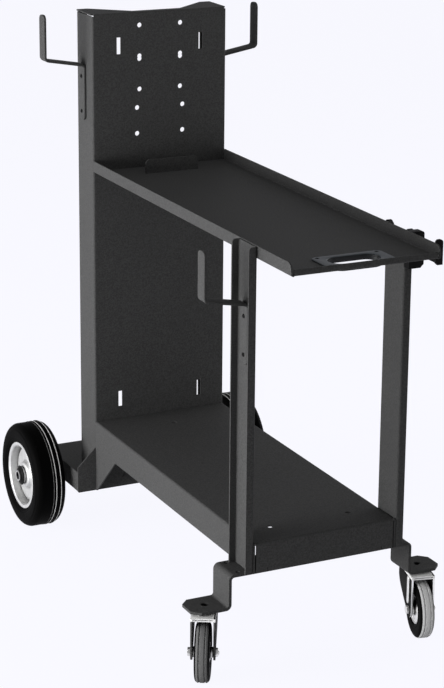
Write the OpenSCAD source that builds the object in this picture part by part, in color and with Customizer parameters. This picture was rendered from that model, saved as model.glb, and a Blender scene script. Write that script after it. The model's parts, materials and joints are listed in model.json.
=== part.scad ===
// Welding cart: a folded sheet column, a machine tray, a lower deck and a bottle
// platform on two fixed rear wheels and two swivel casters. +X is the right side
// seen from the front, the front faces -Y and +Z is up. The floor is at z = 0.

/* [Cart] */
// Overall width of the column, tray and deck
cart_w = 270; // [240:1:300]
// Height of the column's top above the floor
column_top = 1012; // [960:1:1100]
// Depth of the column from its face to its open back
column_d = 73; // [60:1:90]
// Width of the lips that turn in at the column's back
column_lip = 20; // [14:0.5:21]
// Thickness of the folded sheet
sheet_t = 2.5; // [2:0.1:3]
// Outer radius of a sheet fold
fold_r = 4; // [3.5:0.1:5]
// Gap at the corner reliefs between folds
relief_gap = 1.4; // [0.8:0.1:2]

/* [Column] */
// Distance of the highest round holes below the column's top
hole_drop = 24; // [17:1:60]
// Step down to the double hole
hole_step_a = 59.5; // [50:0.5:65]
// Step down from the double hole
hole_step_b = 59; // [50:0.5:65]
// Step down to the wider hole pair
hole_step_c = 34.5; // [25:0.5:40]
// Step down to the lowest hole pair
hole_step_d = 48.5; // [40:0.5:60]
// Half spacing of the upper hole pairs
hole_x_upper = 41; // [30:0.5:60]
// Half spacing of the two lower hole pairs
hole_x_lower = 46; // [30:0.5:60]
// Radius of the column's round holes
hole_r = 4.5; // [3:0.1:6]
// Spacing of the two holes that form the double hole
double_step = 5; // [3:0.5:8]
// Half spacing of the strap slots
slot_x = 82.5; // [70:0.5:100]
// Distance of the upper strap slots' centres below the column's top
slot_drop = 60; // [52:1:90]
// Height of the lower strap slots' centres over the deck
slot_rise = 39.1; // [28:0.1:80]
// Length of a strap slot
slot_len = 31; // [20:0.5:40]
// Width of a strap slot
slot_w = 8; // [5:0.5:12]
// Half width of the bottle notch at the column's back
notch_wide = 114; // [90:1:120]
// Half width of the bottle notch at its bottom
notch_narrow = 48; // [30:1:60]
// Distance of the notch bottom from the column's face
notch_y = 17.5; // [12:0.5:30]

/* [Tray] */
// Length of the tray in front of the column
tray_len = 789; // [740:1:830]
// Height of the underside of the tray
tray_z = 720; // [700:1:735]
// Height of the side flanges over the underside
tray_side_h = 22; // [18:0.5:30]
// Height of the front lip over the underside
tray_lip_h = 11; // [8:0.5:16]
// Radius of the front corners of the side flanges
tray_corner_r = 13; // [6:0.5:16]
// Half width of the stop tab at the back of the tray
tab_x = 53; // [40:1:70]
// Height of the stop tab over the tray's underside
tab_h = 28; // [22:0.5:40]
// Distance of the stop tab from the column
tab_y = 52; // [45:0.5:70]
// Radius of the stop tab's corners
tab_r = 9; // [4:0.5:12]

/* [Handle insert] */
// Length of the handle bezel across the tray
bezel_w = 128; // [118:1:140]
// Depth of the handle bezel
bezel_d = 63; // [58:1:64]
// Thickness of the handle bezel
bezel_t = 2.6; // [2:0.1:4]
// Distance of the bezel's middle from the front of the tray
bezel_back = 43; // [40:0.5:60]
// Length of the grip opening
grip_w = 92; // [84:1:96]
// Depth of the grip opening
grip_d = 40; // [36:0.5:44]
// Wall of the grip sleeve
grip_wall = 2.2; // [1.6:0.1:3]
// Depth of the grip sleeve below the tray
grip_drop = 10; // [8:0.5:20]
// Half spacing of the bezel screws across the tray
bezel_screw_x = 54; // [53:0.5:56]
// Half spacing of the bezel screws along the tray
bezel_screw_y = 23.5; // [22:0.5:25]

/* [Deck] */
// Length of the lower deck in front of the column
deck_len = 674; // [640:1:700]
// Height of the deck's top
deck_z = 234.4; // [228:0.2:240]
// Height of the deck's side flanges and front lip
deck_h = 53; // [47:0.5:55]
// Radius of the deck's holes
deck_hole_r = 5; // [3:0.1:6]
// Half spacing of the front deck holes
deck_hole_x = 75; // [60:0.5:100]
// Distance of the front deck holes behind the deck's front edge
deck_hole_back = 59; // [54:1:114]
// Distance of the rear deck hole from the column
deck_rear_hole_y = 66; // [50:1:90]
// Half spacing of the small cuts in the lower edge of the front lip
lip_cut_x = 108.5; // [90:0.5:120]
// Width of the small cuts
lip_cut_w = 1.6; // [1:0.1:3]
// Height of the small cuts
lip_cut_h = 7; // [4:0.5:10]

/* [Legs and foot bar] */
// Width of a leg along the cart
leg_w = 64; // [58:0.5:68]
// Depth of a leg's flanges
leg_d = 12; // [10:0.5:16]
// Distance of a leg's top below the top of the tray flange
leg_top_drop = 1.5; // [0.5:0.5:6]
// Radius of the flanges' outer top corners
leg_corner_r = 6; // [3:0.5:8]
// Thickness of the foot bar
bar_t = 5; // [4:0.5:6]
// Width of the foot bar along the cart
bar_w = 61; // [58:1:70]
// Distance of the foot bar's middle behind the deck's front edge
bar_back = 41; // [34:0.5:54]
// Half distance between the outer faces of the foot bar's walls
bar_wall_x = 174.5; // [168:0.5:178]
// Inner radius of the foot bar's bends
bar_bend_r = 5; // [3:0.5:8]
// Half length of the foot bar over its plates
bar_end_x = 238; // [234:0.5:246]
// Height of the caster plates' tops
plate_z = 124; // [122:0.5:130]
// Chamfer of the caster plates' corners
plate_chamfer = 14; // [8:0.5:18]
// Radius of the caster bolt holes
plate_hole_r = 6.5; // [6:0.1:7]
// Radius of the fixing holes in the foot bar's top
bar_hole_r = 4; // [2.5:0.1:5]
// Half spacing of the fixing holes along the cart
bar_hole_y = 22; // [16:0.5:23]

/* [Bottle platform] */
// Half width of the bottle platform
platform_x = 172.5; // [160:0.5:174]
// Length of the platform behind the column's face
platform_len = 264; // [240:1:290]
// Height of the platform's underside
platform_z = 96.4; // [94:0.2:100]
// Height of the platform's side walls
platform_side_h = 40.6; // [30:0.2:48]
// Chamfer of the front wall's top corners
platform_chamfer = 35; // [20:1:45]
// Half spacing of the holes in the front wall
wall_hole_x = 80.5; // [60:0.5:110]
// Height of the holes in the front wall over the platform's underside
wall_hole_rise = 24.6; // [18.6:0.1:40]
// Radius of the holes in the front wall
wall_hole_r = 5.5; // [4:0.1:7]
// Length of the gussets under the deck
gusset_l = 92; // [60:1:120]
// Thickness of the gussets
gusset_t = 3; // [2:0.1:4]

/* [Hooks] */
// Width of the flat bar of the hooks
hook_w = 25; // [22:0.5:28]
// Thickness of the flat bar
hook_t = 4.4; // [3:0.1:5]
// Height of a hook's plate up to its arm
hook_plate_h = 103; // [95:1:112]
// Reach of a hook from the face that it stands on
hook_reach = 81; // [60:1:100]
// Rise of the arm over its reach in degrees
hook_rise = 10; // [0:1:20]
// Height of a hook from the plate's foot to its tip
hook_h = 198; // [180:1:215]
// Radius of the flat bar's corners
hook_corner_r = 9; // [4:0.5:14]
// Inner radius of the flat bar's bends
hook_bend_r = 5; // [3:0.5:8]
// Height of the lower screw over the plate's foot
hook_screw_z = 16; // [12:0.5:20]
// Spacing of the two screws
hook_screw_step = 65; // [55:0.5:70]
// Distance of the column hooks' feet below the column's top
column_hook_drop = 199.5; // [192:0.5:232]
// Distance of the column hooks' middle from the column's face
column_hook_y = 41.5; // [36:0.5:54]
// Height of the leg hook's foot
leg_hook_z = 538; // [400:1:600]
// Radius of the hook screws' heads
hook_screw_r = 3.6; // [3:0.1:5]

/* [Rear wheels] */
// Radius of the rear wheels
wheel_r = 102; // [98:0.5:104]
// Width of the rear tyres
tyre_w = 62; // [50:1:64]
// Half distance between the rear wheels' middle planes
wheel_x = 216; // [212:0.5:222]
// Distance of the rear axle behind the column's face
axle_y = 120; // [105:1:150]
// Radius of the stub axles
axle_r = 10; // [8:0.1:11]
// Bore radius of the hollow stub axles
axle_bore_r = 6; // [4:0.1:7]
// Outer radius of the rims' barrels
rim_r = 60; // [54:0.5:64]
// Thickness of the rims' steel
rim_t = 2.5; // [2:0.1:3]
// Outer radius of the hub tubes
hub_r = 15; // [13:0.1:16]
// Half length of the hub tubes
hub_half = 26; // [22:0.5:27]
// Running clearance of the wheel bearings
bearing_gap = 0.05; // [0.02:0.01:0.1]
// Thickness of the stub axles' plates
axle_plate_t = 6; // [5:0.5:6.5]
// Width of the stub axles' plates
axle_plate_w = 56; // [44:1:70]

/* [Casters] */
// Radius of the caster wheels
caster_r = 51; // [49:0.5:51.5]
// Width of the caster tyres
caster_tyre_w = 26; // [24:0.5:31]
// Distance of the casters' swivel axes from the cart's middle
caster_x = 205; // [201:0.5:210]
// Trail from the swivel axis to the wheel's axle
caster_trail = 28; // [24:0.5:34]
// Photographed turn of the left caster in degrees
left_caster_turn = -29; // [-90:1:90]
// Photographed turn of the right caster in degrees
right_caster_turn = -14; // [-90:1:90]
// Outer width of the forks
fork_w = 41.5; // [41:0.5:44]
// Thickness of the forks' steel
fork_t = 3.2; // [2.5:0.1:3.5]
// Radius of the axle bolts
bolt_r = 4; // [3:0.1:5]
// Radius of the ball races
race_r = 19.5; // [18:0.5:20.5]
// Outer radius of the hollow kingpins
kingpin_r = 6.3; // [5.5:0.1:6.4]
// Bore radius of the hollow kingpins
kingpin_bore_r = 4.6; // [3:0.1:5]

/* [Torch holder] */
// Width of the torch holder's block out from the tray
holder_w = 28; // [24:1:36]
// Length of the torch holder's block along the cart
holder_block_l = 16; // [12:1:30]
// Length of the neck that the torch lies on
holder_neck_l = 78; // [40:1:80]
// Width of the neck and the end plate
holder_neck_w = 13; // [12:0.5:22]
// Thickness of the end plate
holder_end_t = 5; // [4:0.5:12]
// Height of the block
holder_h = 62; // [56:1:72]
// Height of the end plate
holder_end_h = 42; // [36:1:50]

/* [Hidden] */
$fn = 96;

// Overrun of every cut past the faces that it opens
over = 1;
// Middle of the cart's length, where the frame's origin is
column_y = (tray_len - platform_len) / 2;
half_w = cart_w / 2;
fold_in = fold_r - sheet_t;
tray_top = tray_z + sheet_t;
flange_top = tray_z + tray_side_h;
deck_low = deck_z - deck_h;
leg_top = flange_top - leg_top_drop;
leg_t = 1.2 * sheet_t;
leg_y = deck_len - leg_w / 2;
bar_y = deck_len - bar_back;
deck_hole_y = deck_len - deck_hole_back;
hole_top = column_top - hole_drop;
slot_z_upper = column_top - slot_drop;
slot_z_lower = deck_z + slot_rise;
column_hook_z = column_top - column_hook_drop;
wall_hole_z = platform_z + wall_hole_rise;
floor_top = platform_z + sheet_t;
plate_low = plate_z - bar_t;

// Small features of the column
corner_relief = 6;
// Small features of the tray
tab_slot = 2.2;
tray_speck_r = 2;
tray_speck_y = 9;
// Gap at each end of the deck's front lip
deck_lip_gap = 2.4;
// Bezel features
bezel_corner_r = 11;
bezel_edge = 1;
screw_head_r = 3.4;
screw_head_t = 1.4;
screw_r = 1.8;
screw_len = 11;
insert_gap = 0.3;
sleeve_rise = 7;
// Fixing holes in the foot bar's top
bar_hole_x = 155;
// Hook screws
hook_head_t = 1.2;
hook_shank_r = 2.5;
hook_screw_len = 9;
// Rear axle parts
axle_plate_drop = 20;
axle_plate_rise = 34;
plate_corner_r = 8;
axle_end = 33;
clip_r = 12.6;
clip_t = 1.2;
clip_inset = 1.4;
groove_depth = 0.8;
hub_play = 0.4;
cap_r = 19;
cap_tip_r = 12.2;
cap_tip = axle_end - clip_inset - clip_t - hub_play;
// Rim: a barrel with two curled edges, and two dished discs with a raised boss
rim_half = 25;
rim_lip = 5;
disc_at = 14;
boss_r = 27;
boss_at = 21;
disc_hole_r = 5;
disc_hole_at = 44.5;
disc_holes = 3;
// Tyre: bead, sidewall, shoulder and crown with raised ribs
rib_h = 0.8;
rib_w = 3;
rib_step = 10;
// Caster parts
crown_gap = 3.6;
race_h = 3;
fork_nose_r = 13.5;
fork_back = 64.5;
// Outline of a fork's side behind the axle, as shares of its length and height
back_shares = [0.67, 0.92, 1, 0.93];
rise_shares = [0.27, 0.47, 0.66];
caster_hub_r = 26;
caster_hub_tube_r = 9;
caster_bearing_gap = 0.05;
caster_tyre_gap = 0.6;
groove_w = 2.2;
groove_d = 1.2;
groove_at = 5;
nut_af = 13;
nut_t = 5.4;
race_gap = 0.3;
bolt_end = 1;

// Torch holder
block_drop = 2;
end_rise = 5;
holder_corner = 5;
block_cut = 6;
neck_h = 24;
neck_drop = 9;
strap_t = 7;
strap_h = 22;
strap_drop = 17;
lug_w = 16;
lug_r = 7;
lug_drop = 4.5;
lug_step = 69;
lug_front = 14;
holder_screw_drop = 20;
holder_screw_step = 25;
holder_screw_len = 14;

// Quarter of a bent sheet: an annulus sector in the quadrant sx, sy
module bend(r_in, t, sx, sy) {
    intersection() {
        difference() {
            circle(r_in + t);
            circle(r_in);
        }
        translate([min(0, sx) * (r_in + t + over), min(0, sy) * (r_in + t + over)])
            square(r_in + t + over);
    }
}

// Rectangle w by d from y = 0 up, its two corners at y = 0 rounded
module footed(w, d, r) {
    union() {
        translate([-w / 2, r]) square([w, d - r]);
        translate([-w / 2 + r, 0]) square([w - 2 * r, d]);
        translate([-w / 2 + r, r]) circle(r);
        translate([w / 2 - r, r]) circle(r);
    }
}

// U section: web along y = 0, flanges up to y = d
module channel(w, d, t, r) {
    difference() {
        footed(w, d, r);
        translate([0, t]) footed(w - 2 * t, d, r - t);
    }
}

// C section: web along y = 0, flanges up to y = d and lips turned in there
module lipped_channel(w, d, t, r, lip) {
    difference() {
        translate([0, d / 2]) rounded(w, d, r);
        translate([0, d / 2]) rounded(w - 2 * t, d - 2 * t, r - t);
        translate([-w / 2 + lip, d - t - over]) square([w - 2 * lip, t + 2 * over]);
    }
}

// Rectangle w by h centred on x, its top corners rounded
module headed(w, h, r) {
    union() {
        translate([-w / 2, 0]) square([w, h - r]);
        translate([-w / 2 + r, 0]) square([w - 2 * r, h]);
        translate([-w / 2 + r, h - r]) circle(r);
        translate([w / 2 - r, h - r]) circle(r);
    }
}

// Rectangle w by h centred on the origin, all corners rounded
module rounded(w, h, r) {
    union() {
        square([w - 2 * r, h], center = true);
        square([w, h - 2 * r], center = true);
        for (x = [-1, 1], y = [-1, 1]) translate([x * (w / 2 - r), y * (h / 2 - r)]) circle(r);
    }
}

// Stadium w by h centred on the origin, its ends full rounds
module stadium(w, h) {
    union() {
        square([w - h, h], center = true);
        for (x = [-1, 1]) translate([x * (w - h) / 2, 0]) circle(h / 2);
    }
}

// Hole of radius r along Y through a wall of thickness t whose front face is at y = 0
module hole_y(r, t) {
    translate([0, t + over, 0]) rotate([90, 0, 0]) cylinder(r = r, h = t + 2 * over);
}

module column() {
    color([0.24, 0.24, 0.25])
    translate([0, column_y, 0])
    union() {
        difference() {
            // the walls end below the top plate, which leaves a slit over them
            translate([0, 0, floor_top]) linear_extrude(column_top - fold_r - floor_top)
                lipped_channel(cart_w, column_d, sheet_t, fold_r, column_lip);
            for (s = [-1, 1]) {
                for (h = [hole_top, hole_top - hole_step_a + double_step / 2,
                        hole_top - hole_step_a - double_step / 2,
                        hole_top - hole_step_a - hole_step_b])
                    translate([s * hole_x_upper, 0, h]) hole_y(hole_r, sheet_t);
                for (h = [hole_top - hole_step_a - hole_step_b - hole_step_c,
                        hole_top - hole_step_a - hole_step_b - hole_step_c - hole_step_d])
                    translate([s * hole_x_lower, 0, h]) hole_y(hole_r, sheet_t);
                for (h = [slot_z_upper, slot_z_lower])
                    translate([s * slot_x - slot_w / 2, -over, h - slot_len / 2])
                        cube([slot_w, sheet_t + 2 * over, slot_len]);
                translate([s * wall_hole_x, 0, wall_hole_z]) hole_y(wall_hole_r, sheet_t);
            }
            for (z = [hook_screw_z, hook_screw_z + hook_screw_step])
                translate([-half_w - over, column_hook_y, column_hook_z + z]) rotate([0, 90, 0])
                    cylinder(r = hook_shank_r, h = cart_w + 2 * over);
        }
        column_top_plate();
    }
}

// Top plate folded back from the web, with the notch that the bottle leans in
module column_top_plate() {
    translate([0, 0, column_top - sheet_t]) linear_extrude(sheet_t) polygon([
        [-half_w, corner_relief], [-half_w + fold_r, corner_relief], [-half_w + fold_r, fold_r],
        [half_w - fold_r, fold_r], [half_w - fold_r, corner_relief], [half_w, corner_relief],
        [half_w, column_d], [notch_wide, column_d], [notch_narrow, notch_y],
        [-notch_narrow, notch_y], [-notch_wide, column_d], [-half_w, column_d]]);
    translate([-half_w + fold_r, fold_r, column_top - fold_r]) rotate([90, 0, 90])
        linear_extrude(cart_w - 2 * fold_r) bend(fold_in, sheet_t, -1, 1);
}

module tray() {
    color([0.22, 0.22, 0.23])
    translate([0, column_y, 0])
    difference() {
        union() {
            difference() {
                translate([0, 0, tray_z]) rotate([90, 0, 0]) linear_extrude(tray_len)
                    channel(cart_w, tray_side_h, sheet_t, fold_r);
                // room for the folded front lip
                translate([-half_w + fold_r + relief_gap, -tray_len - over, tray_z - over])
                    cube([cart_w - 2 * (fold_r + relief_gap), fold_r + over, fold_r + over]);
                // rounded front corners of the side flanges
                translate([0, -tray_len + tray_corner_r, flange_top - tray_corner_r])
                    rotate([90, 0, 90]) translate([0, 0, -half_w - over])
                    linear_extrude(cart_w + 2 * over) difference() {
                        translate([-tray_corner_r - over, 0])
                            square([tray_corner_r + over, tray_corner_r + over]);
                        circle(tray_corner_r);
                    }
            }
            tray_lip();
            tray_tab();
        }
        // slot that frees the stop tab
        translate([-tab_x, -tab_y - sheet_t - tab_slot, tray_z - over])
            cube([2 * tab_x, tab_slot, sheet_t + 2 * over]);
        // grip opening and screw holes of the handle insert
        translate([0, -tray_len + bezel_back, tray_z - over]) {
            linear_extrude(sheet_t + 2 * over)
                stadium(grip_w + 2 * grip_wall + 2 * insert_gap, grip_d + 2 * grip_wall + 2 * insert_gap);
            for (x = [-1, 1], y = [-1, 1]) translate([x * bezel_screw_x, y * bezel_screw_y, 0])
                cylinder(r = screw_r, h = sheet_t + 2 * over);
        }
        // corner reliefs at the back
        for (s = [-1, 1]) translate([s * (half_w - fold_r), -tray_speck_y, tray_z - over])
            cylinder(r = tray_speck_r, h = sheet_t + fold_r);
    }
}

// Front lip, folded up between the side flanges
module tray_lip() {
    x0 = half_w - fold_r - relief_gap;
    translate([-x0, -tray_len, tray_z]) rotate([90, 0, 90]) linear_extrude(2 * x0) union() {
        translate([fold_r, fold_r]) bend(fold_in, sheet_t, -1, -1);
        translate([0, fold_r]) square([sheet_t, tray_lip_h - fold_r]);
    }
}

// Stop tab, folded up out of the tray's floor
module tray_tab() {
    translate([0, -tab_y, tray_z + sheet_t / 2]) rotate([90, 0, 0]) linear_extrude(sheet_t)
        headed(2 * tab_x, tab_h - sheet_t / 2, tab_r);
}

module handle_insert() {
    sleeve_y = grip_d / 2 + grip_wall + over;
    color([0.29, 0.33, 0.36])
    translate([0, column_y - tray_len + bezel_back, tray_top])
    difference() {
        union() {
            linear_extrude(bezel_t - bezel_edge) rounded(bezel_w, bezel_d, bezel_corner_r);
            translate([0, 0, bezel_t - bezel_edge]) linear_extrude(bezel_edge)
                rounded(bezel_w - 2 * bezel_edge, bezel_d - 2 * bezel_edge, bezel_corner_r - bezel_edge);
            translate([0, 0, -sheet_t - grip_drop]) linear_extrude(sheet_t + grip_drop)
                stadium(grip_w + 2 * grip_wall, grip_d + 2 * grip_wall);
        }
        translate([0, 0, -sheet_t - grip_drop - over]) linear_extrude(sheet_t + grip_drop + bezel_t + 2 * over)
            stadium(grip_w, grip_d);
        // the sleeve's foot rises towards the back
        translate([-bezel_w / 2, 0, -sheet_t - grip_drop]) rotate([90, 0, 90]) linear_extrude(bezel_w)
            polygon([[-sleeve_y, 0], [sleeve_y, sleeve_rise], [sleeve_y, -over], [-sleeve_y, -over]]);
        for (x = [-1, 1], y = [-1, 1]) translate([x * bezel_screw_x, y * bezel_screw_y, 0]) {
            translate([0, 0, -over]) cylinder(r = screw_r, h = bezel_t + 2 * over);
            translate([0, 0, bezel_t - screw_head_t]) cylinder(r = screw_head_r, h = screw_head_t + over);
        }
    }
}

module handle_screws() {
    color([0.1, 0.1, 0.1])
    translate([0, column_y - tray_len + bezel_back, tray_top + bezel_t - screw_head_t])
    for (x = [-1, 1], y = [-1, 1]) translate([x * bezel_screw_x, y * bezel_screw_y, 0]) {
        cylinder(r = screw_head_r, h = screw_head_t);
        translate([0, 0, -screw_len]) cylinder(r = screw_r, h = screw_len + screw_head_t / 2);
    }
}

module deck() {
    color([0.24, 0.24, 0.25])
    translate([0, column_y, 0])
    difference() {
        union() {
            difference() {
                translate([0, 0, deck_z]) mirror([0, 0, 1]) rotate([90, 0, 0]) linear_extrude(deck_len)
                    channel(cart_w, deck_h, sheet_t, fold_r);
                translate([-half_w + fold_r, -deck_len - over, deck_z - fold_r])
                    cube([cart_w - 2 * fold_r, fold_r + over, fold_r + over]);
            }
            deck_lip();
        }
        for (s = [-1, 1]) {
            translate([s * deck_hole_x, -deck_hole_y, deck_z - sheet_t - over])
                cylinder(r = deck_hole_r, h = sheet_t + 2 * over);
            translate([s * lip_cut_x - lip_cut_w / 2, -deck_len - over, deck_low - over])
                cube([lip_cut_w, sheet_t + 2 * over, lip_cut_h + over]);
        }
        translate([0, -deck_rear_hole_y, deck_z - sheet_t - over])
            cylinder(r = deck_hole_r, h = sheet_t + 2 * over);
    }
}

// Front lip, folded down between the side flanges with a narrow gap at each end
module deck_lip() {
    x0 = half_w - sheet_t - deck_lip_gap;
    translate([-half_w + fold_r, -deck_len, deck_z]) rotate([90, 0, 90])
        linear_extrude(cart_w - 2 * fold_r)
        translate([fold_r, -fold_r]) bend(fold_in, sheet_t, -1, 1);
    translate([-x0, -deck_len, deck_low]) cube([2 * x0, sheet_t, deck_h - fold_r]);
}

// Leg: a channel with its web on the cart's side and its flanges outward
module leg() {
    color([0.24, 0.24, 0.25])
    translate([0, column_y - leg_y, 0])
    intersection() {
        translate([half_w, 0, deck_low]) rotate([0, 0, -90]) linear_extrude(leg_top - deck_low)
            channel(leg_w, leg_t + leg_d, leg_t, fold_r);
        translate([0, leg_w / 2 + over, deck_low]) rotate([90, 0, 0]) linear_extrude(leg_w + 2 * over)
            union() {
                translate([half_w - over, 0])
                    square([leg_t + leg_d + over - leg_corner_r, leg_top - deck_low]);
                translate([half_w - over, 0])
                    square([leg_t + leg_d + over, leg_top - deck_low - leg_corner_r]);
                translate([half_w + leg_t + leg_d - leg_corner_r, leg_top - deck_low - leg_corner_r])
                    circle(leg_corner_r);
            }
    }
}

module left_leg() {
    difference() {
        mirror([1, 0, 0]) leg();
        for (z = [hook_screw_z, hook_screw_z + hook_screw_step])
            translate([-half_w - leg_t - over, column_y - leg_y, leg_hook_z + z]) rotate([0, 90, 0])
                cylinder(r = hook_shank_r, h = leg_t + 2 * over);
    }
}

module right_leg() {
    difference() {
        leg();
        for (z = holder_screw_z) translate([holder_screw_x, column_y - deck_len + leg_t + over, z])
            rotate([90, 0, 0]) cylinder(r = hook_shank_r, h = leg_t + 2 * over);
    }
}

module foot_bar() {
    bend_out = bar_bend_r + bar_t;
    color([0.2, 0.2, 0.21])
    translate([0, column_y - bar_y, 0])
    difference() {
        translate([0, bar_w / 2, 0]) rotate([90, 0, 0]) linear_extrude(bar_w) union() {
            translate([-bar_wall_x + bend_out, deck_low - bar_t])
                square([2 * (bar_wall_x - bend_out), bar_t]);
            for (s = [-1, 1]) {
                translate([s * (bar_wall_x - bend_out), deck_low - bend_out])
                    bend(bar_bend_r, bar_t, s, 1);
                translate([s * (bar_wall_x - bar_t / 2) - bar_t / 2, plate_low + bend_out])
                    square([bar_t, deck_low - plate_low - 2 * bend_out]);
                translate([s * (bar_wall_x + bar_bend_r), plate_low + bend_out])
                    bend(bar_bend_r, bar_t, -s, -1);
                translate([s > 0 ? bar_wall_x + bar_bend_r : -bar_end_x, plate_low])
                    square([bar_end_x - bar_wall_x - bar_bend_r, bar_t]);
            }
        }
        for (s = [-1, 1]) {
            translate([s * caster_x, 0, plate_low - over])
                cylinder(r = plate_hole_r, h = bar_t + 2 * over);
            for (f = [-1, 1]) {
                translate([s * bar_hole_x, f * bar_hole_y, deck_low - bar_t - over])
                    cylinder(r = bar_hole_r, h = bar_t + 2 * over);
                translate([s * bar_end_x, f * bar_w / 2, plate_low - over]) rotate([0, 0, 45])
                    cube([plate_chamfer * sqrt(2), plate_chamfer * sqrt(2), 2 * (bar_t + 2 * over)],
                        center = true);
            }
        }
    }
}

// Point on the hook's middle line at a bend: centre c, radius r, angles a to b
function arc(c, r, a, b) = [for (i = [0:8]) c + r * [cos(a + (b - a) * i / 8), sin(a + (b - a) * i / 8)]];
// Outline of a strip that follows a line of points p with half width h
function side(p, h) = [for (i = [0:len(p) - 1])
    let (a = p[max(i - 1, 0)], b = p[min(i + 1, len(p) - 1)], d = (b - a) / norm(b - a))
    p[i] + h * [-d[1], d[0]]];
function turned(p) = [for (i = [len(p) - 1:-1:0]) p[i]];

// Hook of flat bar: x is out from the face, y is up. The plate stands on x = 0
module hook() {
    r = hook_bend_r + hook_t / 2;
    arm_end = hook_reach - hook_t / 2;
    // middle of the lower bend, then of the upper bend
    c1 = [hook_t / 2 + r, hook_plate_h - r];
    a1 = 90 + hook_rise;
    p1 = c1 + r * [cos(a1), sin(a1)];
    dir = [cos(hook_rise), sin(hook_rise)];
    c2x = arm_end - r;
    run = (c2x + r * sin(hook_rise) - p1[0]) / dir[0];
    p2 = p1 + run * dir;
    c2 = p2 + r * [-sin(hook_rise), cos(hook_rise)];
    line = concat([[hook_t / 2, 0]], arc(c1, r, 180, a1), arc(c2, r, 270 + hook_rise, 360),
        [[arm_end, hook_h]]);
    intersection() {
        translate([0, hook_w / 2, 0]) rotate([90, 0, 0]) linear_extrude(hook_w)
            polygon(concat(side(line, hook_t / 2), turned(side(line, -hook_t / 2))));
        translate([-over, 0, hook_h / 2]) rotate([90, 0, 90])
            linear_extrude(hook_reach + 2 * over) rounded(hook_w, hook_h, hook_corner_r);
    }
}

// Hook with its two countersinks
module fitted_hook() {
    difference() {
        hook();
        for (z = [hook_screw_z, hook_screw_z + hook_screw_step]) translate([-over, 0, z])
            rotate([0, 90, 0]) cylinder(r = hook_shank_r, h = hook_t + 2 * over);
    }
}

module right_column_hook() {
    color([0.2, 0.2, 0.21])
    translate([half_w, column_y + column_hook_y, column_hook_z]) fitted_hook();
}

module left_column_hook() {
    color([0.2, 0.2, 0.21])
    mirror([1, 0, 0]) translate([half_w, column_y + column_hook_y, column_hook_z]) fitted_hook();
}

module leg_hook() {
    color([0.2, 0.2, 0.21])
    mirror([1, 0, 0]) translate([half_w + leg_t, column_y - leg_y, leg_hook_z]) fitted_hook();
}

module hook_screw() {
    translate([hook_t, 0, 0]) rotate([0, 90, 0]) cylinder(r = hook_screw_r, h = hook_head_t);
    translate([hook_t - hook_screw_len, 0, 0]) rotate([0, 90, 0])
        cylinder(r = hook_shank_r, h = hook_screw_len + hook_head_t / 2);
}

module hook_screws() {
    color([0.08, 0.08, 0.08])
    for (z = [hook_screw_z, hook_screw_z + hook_screw_step]) {
        for (s = [0, 1]) mirror([s, 0, 0])
            translate([half_w, column_y + column_hook_y, column_hook_z + z]) hook_screw();
        mirror([1, 0, 0]) translate([half_w + leg_t, column_y - leg_y, leg_hook_z + z]) hook_screw();
    }
}

module bottle_platform() {
    color([0.2, 0.2, 0.21])
    translate([0, column_y, 0])
    difference() {
        union() {
            translate([0, platform_len, platform_z]) rotate([90, 0, 0])
                linear_extrude(platform_len + sheet_t)
                channel(2 * platform_x, platform_side_h, sheet_t, fold_r);
            translate([0, 0, platform_z]) rotate([90, 0, 0]) linear_extrude(sheet_t) polygon([
                [-platform_x + fold_in, 0], [platform_x - fold_in, 0], [platform_x, fold_in],
                [platform_x, deck_low - platform_chamfer - platform_z],
                [platform_x - platform_chamfer, deck_low - platform_z],
                [-platform_x + platform_chamfer, deck_low - platform_z],
                [-platform_x, deck_low - platform_chamfer - platform_z], [-platform_x, fold_in]]);
        }
        for (s = [-1, 1]) translate([s * wall_hole_x, -sheet_t, wall_hole_z]) hole_y(wall_hole_r, sheet_t);
    }
}

// Triangular gusset between the deck's flange and the platform's front wall
module gusset() {
    color([0.24, 0.24, 0.25])
    translate([half_w - gusset_t, column_y, 0]) rotate([90, 0, 90]) linear_extrude(gusset_t)
        polygon([[-sheet_t, deck_low], [-sheet_t - gusset_l, deck_low], [-2 * sheet_t, platform_z],
            [-sheet_t, platform_z]]);
}

module left_gusset() { mirror([1, 0, 0]) gusset(); }
module right_gusset() { gusset(); }

// Stub axle: a plate on the platform's side wall and a hollow shaft
module stub_axle() {
    end = wheel_x + axle_end;
    groove = end - clip_inset - clip_t;
    color([0.72, 0.73, 0.75])
    translate([0, column_y + axle_y, wheel_r])
    difference() {
        union() {
            translate([platform_x, 0, (axle_plate_rise - axle_plate_drop) / 2]) rotate([90, 0, 90])
                linear_extrude(axle_plate_t)
                rounded(axle_plate_w, axle_plate_rise + axle_plate_drop, plate_corner_r);
            translate([platform_x, 0, 0]) rotate([0, 90, 0]) cylinder(r = axle_r, h = end - platform_x);
            translate([platform_x + axle_plate_t, 0, 0]) rotate([0, 90, 0])
                cylinder(r = hub_r, h = wheel_x - cap_tip - hub_play - platform_x - axle_plate_t);
        }
        translate([platform_x - over, 0, 0]) rotate([0, 90, 0])
            cylinder(r = axle_bore_r, h = end - platform_x + 2 * over);
        translate([groove, 0, 0]) rotate([0, 90, 0]) difference() {
            cylinder(r = axle_r + over, h = clip_t);
            translate([0, 0, -over]) cylinder(r = axle_r - groove_depth, h = clip_t + 2 * over);
        }
    }
}

module left_stub_axle() { mirror([1, 0, 0]) stub_axle(); }
module right_stub_axle() { stub_axle(); }

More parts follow.
